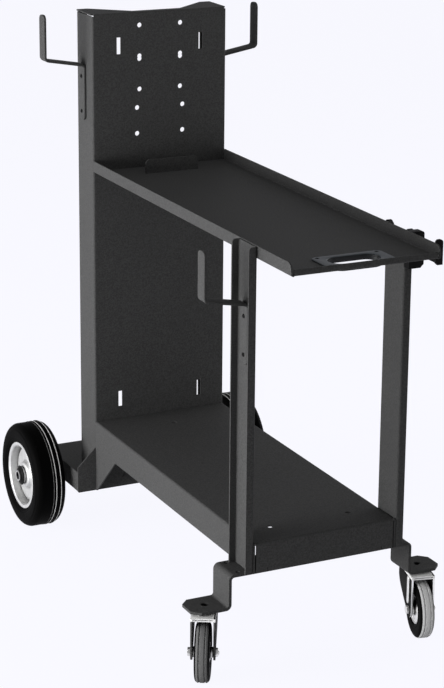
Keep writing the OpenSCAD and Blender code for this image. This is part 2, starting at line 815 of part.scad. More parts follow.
// Retaining rings in the grooves at the stub axles' ends
module axle_clips() {
    color([0.78, 0.79, 0.8])
    for (s = [0, 1]) mirror([s, 0, 0])
        translate([wheel_x + axle_end - clip_inset - clip_t, column_y + axle_y, wheel_r])
        rotate([0, 90, 0]) difference() {
            cylinder(r = clip_r, h = clip_t);
            translate([0, 0, -over]) cylinder(r = axle_r - groove_depth, h = clip_t + 2 * over);
        }
}

// Revolved about the rear axle: in the outline, x is the radius and y is out from the middle plane
module on_rear_axle() {
    translate([wheel_x, column_y + axle_y, wheel_r]) rotate([0, 90, 0]) rotate_extrude() children();
}

module rear_tyre() {
    half = tyre_w / 2;
    bead = rim_half - 0.4 * rim_t;
    crown = wheel_r - rib_h;
    color([0.06, 0.06, 0.06])
    on_rear_axle() union() {
        polygon([[rim_r, -bead], [rim_r + rim_lip, -bead], [rim_r + 2 * rim_lip, -half + rib_w],
            [rim_r + 4 * rim_lip, -half], [crown - 2 * rim_lip, -half], [crown - rim_lip, -half + rib_w],
            [crown, -half + 3 * rib_w], [crown, half - 3 * rib_w], [crown - rim_lip, half - rib_w],
            [crown - 2 * rim_lip, half], [rim_r + 4 * rim_lip, half], [rim_r + 2 * rim_lip, half - rib_w],
            [rim_r + rim_lip, bead], [rim_r, bead]]);
        for (i = [-1, 0, 1]) translate([crown - rib_h, i * rib_step - rib_w / 2]) square([2 * rib_h, rib_w]);
    }
}

module rear_rim() {
    color([0.8, 0.81, 0.83])
    on_rear_axle() union() {
        translate([rim_r - rim_t, -rim_half]) square([rim_t, 2 * rim_half]);
        for (s = [-1, 1]) translate([rim_r - rim_t, s * (rim_half + rim_t / 2) - rim_t / 2])
            square([rim_lip + rim_t, rim_t]);
    }
}

// Two pressed discs between the hub tube and the rim, with three holes each
module wheel_discs() {
    in = rim_r - rim_t;
    color([0.8, 0.81, 0.83])
    difference() {
        on_rear_axle() for (s = [0, 1]) mirror([0, s, 0])
            polygon([[hub_r, boss_at - rim_t], [hub_r + rim_t, boss_at - rim_t], [boss_r, disc_at - rim_t],
                [rim_r - 2 * rim_lip, disc_at - rim_t], [rim_r - rim_lip, disc_at - 3 * rim_t],
                [in, disc_at - 3 * rim_t], [in, disc_at - 2 * rim_t],
                [rim_r - rim_lip + rim_t / 2, disc_at - 2 * rim_t], [rim_r - 2 * rim_lip + rim_t, disc_at],
                [boss_r + rim_t, disc_at], [hub_r + 2 * rim_t, boss_at], [hub_r, boss_at]]);
        translate([wheel_x - tyre_w / 2, column_y + axle_y, wheel_r]) rotate([0, 90, 0])
            for (i = [0:disc_holes - 1]) rotate([0, 0, 180 + i * 360 / disc_holes])
                translate([disc_hole_at, 0, 0]) cylinder(r = disc_hole_r, h = tyre_w);
    }
}

// Steel hub tube that runs on the stub axle
module rear_hub() {
    color([0.7, 0.71, 0.72])
    on_rear_axle() translate([axle_r + bearing_gap, -hub_half])
        square([hub_r - axle_r - bearing_gap, 2 * hub_half]);
}

// Black bearing caps: one cone at each end of the hub tube
module rear_hub_caps() {
    bore = axle_r + 2 * bearing_gap;
    tip = cap_tip;
    color([0.05, 0.05, 0.05])
    on_rear_axle() union() {
        polygon([[bore, hub_half], [cap_r, hub_half], [cap_r, hub_half + (tip - hub_half) / 4],
            [cap_tip_r, tip], [bore, tip]]);
        polygon([[bore, -hub_half], [cap_r, -hub_half], [cap_r, -hub_half - (tip - hub_half) / 4],
            [cap_tip_r, -tip], [bore, -tip]]);
    }
}

module left_tyre() { mirror([1, 0, 0]) rear_tyre(); }
module right_tyre() { rear_tyre(); }
module left_rim() { mirror([1, 0, 0]) rear_rim(); }
module right_rim() { rear_rim(); }
module left_wheel_discs() { mirror([1, 0, 0]) wheel_discs(); }
module right_wheel_discs() { wheel_discs(); }
module left_hub() { mirror([1, 0, 0]) rear_hub(); }
module right_hub() { rear_hub(); }
module left_hub_caps() { mirror([1, 0, 0]) rear_hub_caps(); }
module right_hub_caps() { rear_hub_caps(); }

// Places a caster's pieces: s is the side, the origin is the swivel axis on the floor
module at_caster(s) {
    translate([s * caster_x, column_y - bar_y, 0])
        rotate([0, 0, s < 0 ? left_caster_turn : right_caster_turn]) children();
}

skirt_low = 2 * caster_r + crown_gap;
crown_top = plate_low - race_h;
crown_low = crown_top - fork_t;
fork_tail = back_shares[3] * fork_back - caster_trail;

// Fixed upper race, pressed to the foot bar by the kingpin
module caster_race(s) {
    color([0.78, 0.79, 0.8])
    at_caster(s) rotate_extrude() polygon([[kingpin_r, crown_top + race_gap],
        [race_r, crown_top + race_gap], [race_r, plate_low - race_h / 3], [race_r - race_h / 3, plate_low],
        [kingpin_r, plate_low]]);
}

// Hollow kingpin: shaft through the fork's crown and the plate, flared at the foot
module caster_kingpin(s) {
    color([0.55, 0.56, 0.57])
    at_caster(s) rotate_extrude() polygon([[kingpin_bore_r, crown_low - race_gap - fork_t / 2],
        [kingpin_r + fork_t / 2, crown_low - race_gap - fork_t / 2],
        [kingpin_r + fork_t / 2, crown_low - race_gap], [kingpin_r, crown_low - race_gap],
        [kingpin_r, plate_z - fork_t / 4], [kingpin_bore_r, plate_z - fork_t / 4]]);
}

// Outline of a fork's side from the axle: x runs back, y is the height
module fork_side() {
    rise = crown_top - caster_r;
    union() {
        polygon([[-fork_nose_r, crown_top], [-fork_nose_r, caster_r], [fork_nose_r, caster_r],
            [back_shares[0] * fork_back, caster_r + rise_shares[0] * rise],
            [back_shares[1] * fork_back, caster_r + rise_shares[1] * rise],
            [back_shares[2] * fork_back, caster_r + rise_shares[2] * rise],
            [back_shares[3] * fork_back, crown_top]]);
        translate([0, caster_r]) circle(fork_nose_r);
    }
}

// Fork: a crown with the bore for the kingpin and two sides down to the axle
module caster_fork(s) {
    color([0.78, 0.79, 0.8])
    at_caster(s) difference() {
        union() {
            for (f = [-1, 1]) translate([f * (fork_w - fork_t) / 2 - fork_t / 2, -caster_trail, 0])
                rotate([90, 0, 90]) linear_extrude(fork_t) fork_side();
            translate([0, 0, crown_low]) linear_extrude(fork_t) union() {
                circle(fork_w / 2);
                translate([-fork_w / 2, 0]) square([fork_w, fork_tail]);
            }
            // skirt around the balls
            rotate_extrude() translate([race_r - fork_t, skirt_low])
                square([fork_t, crown_top - skirt_low]);
        }
        translate([0, 0, crown_low - over])
            cylinder(r = kingpin_r + caster_bearing_gap, h = fork_t + 2 * over);
        translate([-fork_w / 2 - over, -caster_trail, caster_r]) rotate([0, 90, 0])
            cylinder(r = bolt_r, h = fork_w + 2 * over);
    }
}

// Hexagonal prism along X from x = 0, af across its flats
module hex_x(af, h) {
    rotate([0, 90, 0]) cylinder(r = af / sqrt(3), h = h, $fn = 6);
}

// Axle bolt: hexagonal head on the left, shank through the fork and the hub
module caster_bolt(s) {
    color([0.75, 0.76, 0.77])
    at_caster(s) translate([0, -caster_trail, caster_r]) union() {
        translate([-fork_w / 2 - nut_t, 0, 0]) hex_x(nut_af, nut_t);
        translate([-fork_w / 2 - nut_t / 2, 0, 0]) rotate([0, 90, 0])
            cylinder(r = bolt_r, h = fork_w + nut_t / 2 + nut_t + bolt_end);
    }
}

module caster_nut(s) {
    color([0.75, 0.76, 0.77])
    at_caster(s) translate([fork_w / 2, -caster_trail, caster_r]) difference() {
        hex_x(nut_af, nut_t);
        translate([-over, 0, 0]) rotate([0, 90, 0]) cylinder(r = bolt_r, h = nut_t + 2 * over);
    }
}

// Revolved about the caster's axle: x is the radius, y runs along the axle
module on_caster_axle(s) {
    at_caster(s) translate([0, -caster_trail, caster_r]) rotate([0, 90, 0]) rotate_extrude() children();
}

module caster_tyre(s) {
    half = caster_tyre_w / 2;
    color([0.16, 0.16, 0.17])
    on_caster_axle(s) difference() {
        polygon([[caster_hub_r, -half + groove_w], [caster_hub_r + groove_w, -half],
            [caster_r - 3 * groove_w, -half], [caster_r - groove_d, -half + groove_w],
            [caster_r, -half + 2 * groove_w], [caster_r, half - 2 * groove_w],
            [caster_r - groove_d, half - groove_w], [caster_r - 3 * groove_w, half],
            [caster_hub_r + groove_w, half], [caster_hub_r, half - groove_w]]);
        for (i = [-1, 1]) translate([caster_r - groove_d, i * groove_at - groove_w / 2])
            square([groove_d + over, groove_w]);
    }
}

// Steel tube that runs on the axle bolt
module caster_hub(s) {
    bore = bolt_r + caster_bearing_gap;
    tube_half = fork_w / 2 - fork_t - caster_tyre_gap;
    color([0.72, 0.73, 0.74])
    on_caster_axle(s) translate([bore, -tube_half]) square([caster_hub_tube_r - bore, 2 * tube_half]);
}

// Dished steel centre between the tube and the tyre
module caster_dish(s) {
    half = caster_tyre_w / 2;
    color([0.72, 0.73, 0.74])
    on_caster_axle(s) polygon([[caster_hub_tube_r, -half], [caster_hub_tube_r + groove_w, -half],
        [caster_hub_r - 2 * groove_w, -half + 2 * groove_w], [caster_hub_r, -half + groove_w],
        [caster_hub_r, half - groove_w], [caster_hub_r - 2 * groove_w, half - 2 * groove_w],
        [caster_hub_tube_r + groove_w, half], [caster_hub_tube_r, half]]);
}

module left_caster_race() { caster_race(-1); }
module right_caster_race() { caster_race(1); }
module left_caster_kingpin() { caster_kingpin(-1); }
module right_caster_kingpin() { caster_kingpin(1); }
module left_caster_fork() { caster_fork(-1); }
module right_caster_fork() { caster_fork(1); }
module left_caster_bolt() { caster_bolt(-1); }
module right_caster_bolt() { caster_bolt(1); }
module left_caster_nut() { caster_nut(-1); }
module right_caster_nut() { caster_nut(1); }
module left_caster_tyre() { caster_tyre(-1); }
module right_caster_tyre() { caster_tyre(1); }
module left_caster_hub() { caster_hub(-1); }
module right_caster_hub() { caster_hub(1); }
module left_caster_dish() { caster_dish(-1); }
module right_caster_dish() { caster_dish(1); }

leg_out = half_w + leg_t + leg_d;
strap_top = flange_top - strap_drop;
holder_screw_x = half_w + leg_t + leg_d / 2;
holder_screw_z = [flange_top - holder_screw_drop, flange_top - holder_screw_drop - holder_screw_step];
lug_y = [deck_len - lug_front, deck_len - lug_front - lug_step];

// Torch holder: a strap along the right leg with two lugs, a block in front of the leg, the
// neck that the torch lies on and an end plate
module torch_holder() {
    y0 = deck_len;
    y1 = y0 + holder_block_l;
    y2 = y1 + holder_neck_l;
    color([0.05, 0.05, 0.05])
    translate([0, column_y, 0]) difference() {
        union() {
            // strap on the leg's flanges
            translate([leg_out, -y0, strap_top - strap_h])
                cube([strap_t, y0 - lug_y[1] + lug_w / 2, strap_h]);
            // lugs that stand over the strap
            for (y = lug_y) translate([leg_out, -y, strap_top - strap_h]) rotate([90, 0, 90])
                linear_extrude(strap_t) headed(lug_w, strap_h + strap_drop - lug_drop, lug_r);
            // block against the leg's front flange and the tray's side flange
            translate([half_w, -y0, flange_top - block_drop - holder_h]) rotate([90, 0, 0])
                linear_extrude(holder_block_l) difference() {
                    translate([holder_w / 2, 0]) headed(holder_w, holder_h, holder_corner);
                    translate([holder_w, 0]) rotate([0, 0, 45])
                        square(block_cut * sqrt(2), center = true);
                }
            // neck
            translate([half_w, -y1, flange_top - neck_drop - neck_h]) rotate([90, 0, 0])
                linear_extrude(holder_neck_l) translate([holder_neck_w / 2, 0])
                headed(holder_neck_w, neck_h, holder_corner);
            // end plate
            translate([half_w, -y2, flange_top + end_rise - holder_end_h]) rotate([90, 0, 0])
                linear_extrude(holder_end_t) translate([holder_neck_w / 2, 0]) difference() {
                    headed(holder_neck_w, holder_end_h, holder_corner);
                    translate([-holder_neck_w / 2, 0]) rotate([0, 0, 45])
                        square(holder_corner, center = true);
                }
        }
        for (z = holder_screw_z) translate([holder_screw_x, -y0 + over, z]) rotate([90, 0, 0])
            cylinder(r = hook_shank_r, h = holder_screw_len - leg_t + over);
    }
}

// Screws from inside the leg through its front flange into the block
module torch_holder_screws() {
    color([0.6, 0.6, 0.62])
    translate([0, column_y, 0])
    for (z = holder_screw_z) translate([holder_screw_x, -deck_len + leg_t, z]) {
        translate([0, hook_head_t, 0]) rotate([90, 0, 0]) cylinder(r = hook_screw_r, h = hook_head_t);
        translate([0, hook_head_t / 2, 0]) rotate([90, 0, 0])
            cylinder(r = hook_shank_r, h = holder_screw_len + hook_head_t / 2);
    }
}

column();
tray();
handle_insert();
handle_screws();
deck();
left_leg();
right_leg();
foot_bar();
left_column_hook();
right_column_hook();
leg_hook();
hook_screws();
bottle_platform();
left_gusset();
right_gusset();
left_stub_axle();
right_stub_axle();
axle_clips();
left_tyre();
right_tyre();
left_rim();
right_rim();
left_wheel_discs();
right_wheel_discs();
left_hub();
right_hub();
left_hub_caps();
right_hub_caps();
left_caster_race();
right_caster_race();
left_caster_kingpin();
right_caster_kingpin();
left_caster_fork();
right_caster_fork();
left_caster_bolt();
right_caster_bolt();
left_caster_nut();
right_caster_nut();
left_caster_tyre();
right_caster_tyre();
left_caster_hub();
right_caster_hub();
left_caster_dish();
right_caster_dish();
torch_holder();
torch_holder_screws();
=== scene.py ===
"""Looks of a sheet-steel welding cart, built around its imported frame.

The frame's own solids carry the folded sheets. The wheels, casters, cable hooks, screws, grip and
torch holder are made again here as finer surfaces. Outlines and sizes are in millimetres; a Shell's
points, places and materials are in metres.
"""
from __future__ import annotations

import json
import logging
import math
from contextlib import contextmanager
from dataclasses import dataclass
from enum import Enum
from typing import Any, Callable, Iterator, Sequence

import bmesh
import bpy
import numpy as np
from mathutils import Matrix, Vector


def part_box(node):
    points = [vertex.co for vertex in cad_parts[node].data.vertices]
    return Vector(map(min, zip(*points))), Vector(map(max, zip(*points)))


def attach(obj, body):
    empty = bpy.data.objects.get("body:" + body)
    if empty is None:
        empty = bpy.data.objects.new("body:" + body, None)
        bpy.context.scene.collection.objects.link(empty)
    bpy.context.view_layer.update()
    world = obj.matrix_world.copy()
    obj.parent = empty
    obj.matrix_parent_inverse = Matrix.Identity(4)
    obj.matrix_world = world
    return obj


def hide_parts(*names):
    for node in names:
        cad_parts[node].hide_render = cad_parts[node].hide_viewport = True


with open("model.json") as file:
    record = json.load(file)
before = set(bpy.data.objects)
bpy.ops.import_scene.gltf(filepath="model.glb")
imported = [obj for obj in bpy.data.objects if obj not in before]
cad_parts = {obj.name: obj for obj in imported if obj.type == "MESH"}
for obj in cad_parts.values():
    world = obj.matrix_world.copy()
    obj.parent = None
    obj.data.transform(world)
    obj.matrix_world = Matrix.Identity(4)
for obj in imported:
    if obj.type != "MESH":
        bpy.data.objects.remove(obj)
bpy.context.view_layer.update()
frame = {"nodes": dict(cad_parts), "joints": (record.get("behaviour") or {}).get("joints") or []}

LOG = logging.getLogger("welding_cart")
MM = 0.001
Points = np.ndarray
Colour = tuple[float, float, float]
Material = bpy.types.Material
# Turns local X to +Z
UPRIGHT = Matrix.Rotation(-math.pi / 2, 4, "Y")


# Shader trees


def rgba(value: Any) -> Any:
    """A colour with its alpha of 1; any other value as it is."""
    return (*value, 1.0) if isinstance(value, tuple) and len(value) == 3 else value


def scaled(colour: Colour, share: float) -> Colour:
    """A colour times a number."""
    return tuple(c * share for c in colour)


def operator(operation: str, swapped: bool = False) -> Callable[[Value, Any], Value]:
    """Makes a Value's operator.

    Args:
        operation: the Math node's operation, such as ADD.
        swapped: the other term comes first.

    Returns:
        A method that adds one Math node on the two terms.
    """
    def method(self: Value, other: Any) -> Value:
        """Adds the node."""
        terms = (other, self) if swapped else (self, other)
        return self.shader.node("ShaderNodeMath", {"operation": operation}, dict(enumerate(terms)))

    return method


class Value:
    """An output of a shader tree; +, - and * on it add Math nodes, and | gives the larger of two."""

    __add__, __radd__ = operator("ADD"), operator("ADD", True)
    __sub__, __rsub__ = operator("SUBTRACT"), operator("SUBTRACT", True)
    __mul__, __rmul__ = operator("MULTIPLY"), operator("MULTIPLY", True)
    __or__ = operator("MAXIMUM")

    def __init__(self, shader: Shader, socket: bpy.types.NodeSocket) -> None:
        """Keeps the tree and the socket."""
        self.shader = shader
        self.socket = socket

    def step(self, low: float, high: float) -> Value:
        """Smooth step: 0 below low, 1 above high.

        Args:
            low, high: ends of the step.

        Returns:
            The step.
        """
        return self.shader.node(
            "ShaderNodeMapRange",
            {"interpolation_type": "SMOOTHSTEP", "clamp": True},
            {"Value": self, "From Min": low, "From Max": high},
        )


class Shader:
    """A material's tree, built node by node."""

    def __init__(self, name: str, world: bool = False) -> None:
        """Makes an empty material, or an empty world.

        Args:
            name: its name.
            world: make a world.
        """
        store = bpy.data.worlds if world else bpy.data.materials
        self.data = store.new(name)
        self.data.use_nodes = True
        self.tree = self.data.node_tree
        self.tree.nodes.clear()

    def node(
        self, kind: str, settings: dict | None = None, sockets: dict | None = None, out: int | str = 0
    ) -> Value:
        """Adds a node.

        Args:
            kind: the node's type.
            settings: its own settings, set first.
            sockets: values, or other nodes' outputs, by the input's name or number.
            out: which output is returned.

        Returns:
            The chosen output.
        """
        made = self.tree.nodes.new(kind)
        for key, value in (settings or {}).items():
            setattr(made, key, value)
        for key, value in (sockets or {}).items():
            if isinstance(value, Value):
                self.tree.links.new(value.socket, made.inputs[key])
            else:
                made.inputs[key].default_value = value
        return Value(self, made.outputs[out] if len(made.outputs) else None)

    def vector(self, operation: str, *terms: Any, out: int | str = 0) -> Value:
        """Adds a Vector Math node."""
        sockets = {i: t if isinstance(t, Value) else tuple(t) for i, t in enumerate(terms)}
        return self.node("ShaderNodeVectorMath", {"operation": operation}, sockets, out)

    def place(self, centre: Sequence[float] = (0, 0, 0)) -> Value:
        """Object coordinates measured from centre."""
        return self.vector("SUBTRACT", self.node("ShaderNodeTexCoord", out="Object"), centre)

    def noise(self, place: Value, size: float, detail: float = 2.0, rough: float = 0.5) -> Value:
        """Noise whose blotches are about size metres across, from 0 to 1.

        Args:
            place: the coordinates.
            size: of a blotch.
            detail, rough: of the noise.

        Returns:
            The noise.
        """
        return self.node(
            "ShaderNodeTexNoise",
            {"noise_dimensions": "3D"},
            {"Vector": place, "Scale": 1.0 / size, "Detail": detail, "Roughness": rough},
        )

    def blend(self, share: Any, first: Any, second: Any) -> Value:
        """Mixes two colours by share.

        Args:
            share: of the second colour.
            first, second: the colours.

        Returns:
            The colour.
        """
        return self.node(
            "ShaderNodeMix",
            {"data_type": "RGBA", "blend_type": "MIX"},
            {0: share, 6: rgba(first), 7: rgba(second)},
            out=2,
        )

    def bump(self, height: Value, depth: float, strength: float = 1.0, edge: float = 0.0) -> Value:
        """Bump normal.

        Args:
            height: from 0 to 1.
            depth: metres that 1 stands for.
            strength: share of the effect.
            edge: radius over which sharp edges look rounded.

        Returns:
            The normal.
        """
        sockets: dict = {"Height": height, "Distance": depth, "Strength": strength}
        if edge:
            sockets["Normal"] = self.node("ShaderNodeBevel", {"samples": 4}, {"Radius": edge})
        return self.node("ShaderNodeBump", sockets=sockets)

    def hollow(self, reach: float) -> Value:
        """Ambient occlusion, used for painted shade: 0 deep in a hollow, 1 in the open, judged over reach
        metres.
        """
        return self.node("ShaderNodeAmbientOcclusion", {"samples": 8}, {"Distance": reach}, out="AO")

    def facing(self, direction: Sequence[float]) -> Value:
        """Size of the dot product of the piece's own normal and a direction: 1 on faces square to it.

        Args:
            direction: a unit vector.

        Returns:
            From 0 to 1.
        """
        normal = self.node("ShaderNodeTexCoord", out="Normal")
        dot = self.vector("DOT_PRODUCT", normal, direction, out="Value")
        return dot | (0 - dot)

    def height(self) -> Value:
        """Height above the floor, in metres."""
        return self.node("ShaderNodeSeparateXYZ", sockets={0: self.place()}, out="Z")

    def radius(self, centre: Sequence[float], axle: Sequence[float]) -> Value:
        """Distance from an axle: the length of the cross product of the place and the axle's direction."""
        return self.vector("LENGTH", self.vector("CROSS_PRODUCT", self.place(centre), axle), out="Value")

    def surface(self, **sockets: Any) -> Material:
        """Ends the tree with a Principled shader.

        Args:
            sockets: the shader's inputs, with _ for a space.

        Returns:
            The finished material.
        """
        inputs = {name.replace("_", " "): rgba(value) for name, value in sockets.items()}
        shade = self.node("ShaderNodeBsdfPrincipled", sockets=inputs)
        self.node("ShaderNodeOutputMaterial", sockets={"Surface": shade})
        return self.data


# Finishes


@dataclass(frozen=True)
class PowderCoat:
    """Dark textured powder coat: a fine orange-peel grain with slightly uneven tone."""

    name: str = "powder_coat"
    tone: Colour = (0.051, 0.051, 0.051)
    grain: float = 1.1 * MM
    speck: float = 2.4 * MM
    drift: float = 160 * MM
    mottle: float = 0.24

    def material(self) -> Material:
        """Tone varies by a fine speckle and a slow drift; the grain also lifts the surface.

        Returns:
            The material.
        """
        s = Shader(self.name)
        here = s.place()
        speckle = s.noise(here, self.speck, 3.0, 0.7)
        drift = s.noise(here, self.drift, 2.0, 0.5)
        share = (speckle - 0.5) * 2.6 + (drift - 0.5) * 0.2 + 0.5
        dark, pale = scaled(self.tone, 1 - self.mottle), scaled(self.tone, 1 + self.mottle)
        peel = s.noise(here, self.grain, 2.0, 0.6)
        return s.surface(
            Base_Color=s.blend(share.step(0.0, 1.0), dark, pale),
            Roughness=0.62 + peel * 0.16,
            Specular_IOR_Level=0.08,
            Normal=s.bump(peel, 0.12 * MM, 0.5, edge=0.5 * MM),
        )


@dataclass(frozen=True)
class Zinc:
    """Bright zinc plating: smooth steel with faint clouding, and painted shade that darkens its hollows.

    Attributes:
        dull: lowest roughness.
        cloud, grain: sizes of the clouds and of the fine grain.
        depth: reach over which a hollow is judged.
        shade: share of the tone that a hollow keeps under the painted shade.
    """

    name: str = "zinc"
    tone: Colour = (0.78, 0.775, 0.76)
    dull: float = 0.32
    depth: float = 30 * MM
    shade: float = 0.15
    cloud: float = 9 * MM
    grain: float = 0.7 * MM

    def material(self) -> Material:
        """Clouds change the tone and the gloss, and painted shade darkens the hollows.

        Returns:
            The material.
        """
        s = Shader(self.name)
        here = s.place()
        cloud = s.noise(here, self.cloud, 3.0, 0.6)
        grain = s.noise(here, self.grain, 2.0, 0.6)
        plate = s.blend(cloud.step(0.3, 0.7), scaled(self.tone, 0.88), self.tone)
        # Painted shade: ambient occlusion darkens the base colour in the hollows
        unshaded_share = s.hollow(self.depth).step(0.05, 0.62)
        return s.surface(
            Base_Color=s.blend(unshaded_share, scaled(self.tone, self.shade), plate),
            Metallic=1.0,
            Roughness=self.dull + cloud * 0.12,
            Normal=s.bump(grain, 0.02 * MM, 0.3, edge=0.3 * MM),
        )


@dataclass(frozen=True)
class ForkSteel:
    """Rolled steel of the forks, with painted light: painted shade makes the sides dark, and a painted
    highlight makes the cut edges and the crown bright.

    Attributes:
        axle: direction of the wheel's axle, which the faces darkened by painted shade are square to.
        edge_share: how strong the painted highlight on the cut edges is, from 0 to 1.
        face, bright: the two tones, of the painted shade and of the painted highlight.
        crown: height above which the steel gets the painted highlight.
    """

    name: str
    axle: tuple[float, float, float]
    edge_share: float = 1.0
    face: Colour = (0.012, 0.012, 0.012)
    bright: Colour = (0.85, 0.85, 0.84)
    crown: float = 111 * MM
    cloud: float = 9 * MM

    def material(self) -> Material:
        """The painted highlight's share is the larger of the unshaded cut edges' and the crown's.

        Returns:
            The material.
        """
        s = Shader(self.name)
        cloud = s.noise(s.place(), self.cloud, 3.0, 0.6)
        # Painted shade on the faces square to the axle; painted highlight on the unshaded cut edges and on
        # the crown, which is also made less metallic and pale
        unshaded_share = s.hollow(25 * MM).step(0.35, 0.8)
        edge = (1 - s.facing(self.axle)).step(0.25, 0.7) * unshaded_share * self.edge_share
        crown = s.height().step(self.crown - 0.6 * MM, self.crown)
        bright = edge | crown
        return s.surface(
            Base_Color=s.blend(bright, self.face, self.bright),
            Metallic=bright * (1 - crown * 0.75),
            Specular_IOR_Level=0.02,
            Roughness=0.64 - bright * 0.34 + cloud * 0.14,
            Normal=s.bump(cloud, 0.03 * MM, 0.3, edge=0.3 * MM),
        )


@dataclass(frozen=True)
class AxleSteel:
    """Plated steel of a hollow axle: bright on its end ring, and painted black inside the bore as painted
    shade.
    """

    name: str
    centre: tuple[float, float, float]
    tone: Colour = (0.7, 0.7, 0.69)
    inside: Colour = (0.002, 0.002, 0.002)
    bore: float = 8.3 * MM

    def material(self) -> Material:
        """The distance from the axle decides between the bore's painted shade and the plated surface.

        Returns:
            The material.
        """
        s = Shader(self.name)
        cloud = s.noise(s.place(), 5 * MM, 3.0, 0.6)
        # Painted shade: inside the bore the plated steel is coloured near black and not metallic
        plated = s.radius(self.centre, (1, 0, 0)).step(self.bore - 0.2 * MM, self.bore + 0.2 * MM)
        return s.surface(
            Base_Color=s.blend(plated, self.inside, self.tone),
            Metallic=plated,
            Specular_IOR_Level=0.08,
            Roughness=0.3 + cloud * 0.15,
        )


@dataclass(frozen=True)
class Rubber:
    """Moulded rubber whose tread is painted paler than its sides, as a painted highlight.

    Attributes:
        centre: a point on the axle.
        axle: direction of the axle.
        from_radius, to_radius: radii between which the side's tone turns into the tread's painted highlight.
        gloss: lowest roughness.
        shine: specular level.
    """

    name: str
    side: Colour
    tread: Colour
    centre: tuple[float, float, float]
    axle: tuple[float, float, float]
    from_radius: float
    to_radius: float
    gloss: float = 0.5
    shine: float = 0.015

    def material(self) -> Material:
        """The tread's painted highlight grows with the distance from the axle and is uneven with dust and
        painted sheen.

        Returns:
            The material.
        """
        s = Shader(self.name)
        here = s.place(self.centre)
        radius = s.radius(self.centre, self.axle)
        dust_and_sheen = s.noise(here, 5 * MM, 4.0, 0.65)
        skin = s.noise(here, 0.9 * MM, 2.0, 0.6)
        # Painted highlight: the tread and the rib crowns are coloured paler than the sides
        tread = radius.step(self.from_radius, self.to_radius) * (0.7 + dust_and_sheen * 0.6)
        return s.surface(
            Base_Color=s.blend(tread.step(0.0, 1.0), self.side, self.tread),
            Roughness=self.gloss + dust_and_sheen * 0.16 + tread * 0.15,
            Specular_IOR_Level=self.shine,
            Normal=s.bump(skin, 0.08 * MM, 0.35),
        )


@dataclass(frozen=True)
class Plastic:
    """Injection-moulded plastic with a fine eroded grain.

    Attributes:
        gloss: lowest roughness.
        shine: specular level.
        grain: size of the grain.
        dark_below: height under which the plastic is painted near black, as painted shade.
    """

    name: str
    tone: Colour
    gloss: float = 0.42
    shine: float = 0.25
    grain: float = 0.5 * MM
    dark_below: float = -1.0

    def material(self) -> Material:
        """A fine grain breaks the gloss, the tone drifts a little, and below a height it is painted near
        black as shade.

        Returns:
            The material.
        """
        s = Shader(self.name)
        here = s.place()
        grain = s.noise(here, self.grain, 2.0, 0.5)
        drift = s.noise(here, 14 * MM, 2.0, 0.5)
        skin = s.blend(drift.step(0.25, 0.75), self.tone, scaled(self.tone, 1.18))
        # Painted shade: the plastic turns near black below the height
        above = s.height().step(self.dark_below - 0.6 * MM, self.dark_below)
        return s.surface(
            Base_Color=s.blend(above, scaled(self.tone, 0.1), skin),
            Roughness=self.gloss + grain * 0.14,
            Specular_IOR_Level=self.shine,
            Normal=s.bump(grain, 0.05 * MM, 0.4, edge=0.25 * MM),
        )


# Surfaces


def softened(corners: Sequence[Sequence[float]], radius: float | Sequence[float], steps: int = 5) -> Points:
    """Rounds a closed outline's corners.

    At each corner P, A and B lie on the two sides at the radius, or at 0.45 of the side if that is
    shorter. The corner becomes the curve (1-t)^2 A + 2 t (1-t) P + t^2 B.

    Args:
        corners: (n, 2) points of a closed outline.
        radius: one radius, or one for each corner, in the outline's unit.
        steps: points on each corner.

    Returns:
        (n * steps, 2) points.
    """
    p = np.asarray(corners, float)
    before, after = np.roll(p, 1, 0) - p, np.roll(p, -1, 0) - p
    lb, la = (np.linalg.norm(d, axis=1, keepdims=True) for d in (before, after))
    reach = np.broadcast_to(np.asarray(radius, float).reshape(-1, 1), lb.shape)
    reach = np.minimum(reach, 0.45 * np.minimum(lb, la))
    a, b = p + before / lb * reach, p + after / la * reach
    t = np.linspace(0, 1, steps).reshape(1, -1, 1)
    return ((1 - t) ** 2 * a[:, None] + 2 * t * (1 - t) * p[:, None] + t**2 * b[:, None]).reshape(-1, 2)


def mirrored(half: Sequence[tuple[float, float]]) -> list[tuple[float, float]]:
    """A closed outline from its half: (a, b), then (a, -b) in the opposite order."""
    return [*half, *((a, -b) for a, b in reversed(half))]


def rectangle(a: float, b: float, c: float, d: float) -> Points:
    """The outline of a rectangle from its corner (a, b) to its corner (c, d)."""
    return np.array([(a, b), (c, b), (c, d), (a, d)])


def quarters(steps: int) -> tuple[Points, Points, Points]:
    """Angles round a circle in four quarters.

    Args:
        steps: angles in each quarter, with both its ends.

    Returns:
        The angles, and the signs of cos and sin in each one's quarter.
    """
    quarter = np.radians(np.linspace(0, 90, steps))
    angle = np.concatenate([quarter + k * math.pi / 2 for k in range(4)])
    number = np.repeat(np.arange(4), steps)
    return angle, np.where((number == 0) | (number == 3), 1.0, -1.0), np.where(number < 2, 1.0, -1.0)


def grid_faces(rows: int, columns: int, round_rows: bool) -> Points:
    """Quads of a grid of points as (n, 4) numbers; columns run round, and rows too where told.

    Args:
        rows, columns: size of the grid.
        round_rows: joins the last row to the first.

    Returns:
        (n, 4) numbers of points.
    """
    i, j = np.meshgrid(np.arange(rows if round_rows else rows - 1), np.arange(columns), indexing="ij")
    k, m = (i + 1) % rows, (j + 1) % columns
    return np.stack([i * columns + j, k * columns + j, k * columns + m, i * columns + m], -1).reshape(-1, 4)


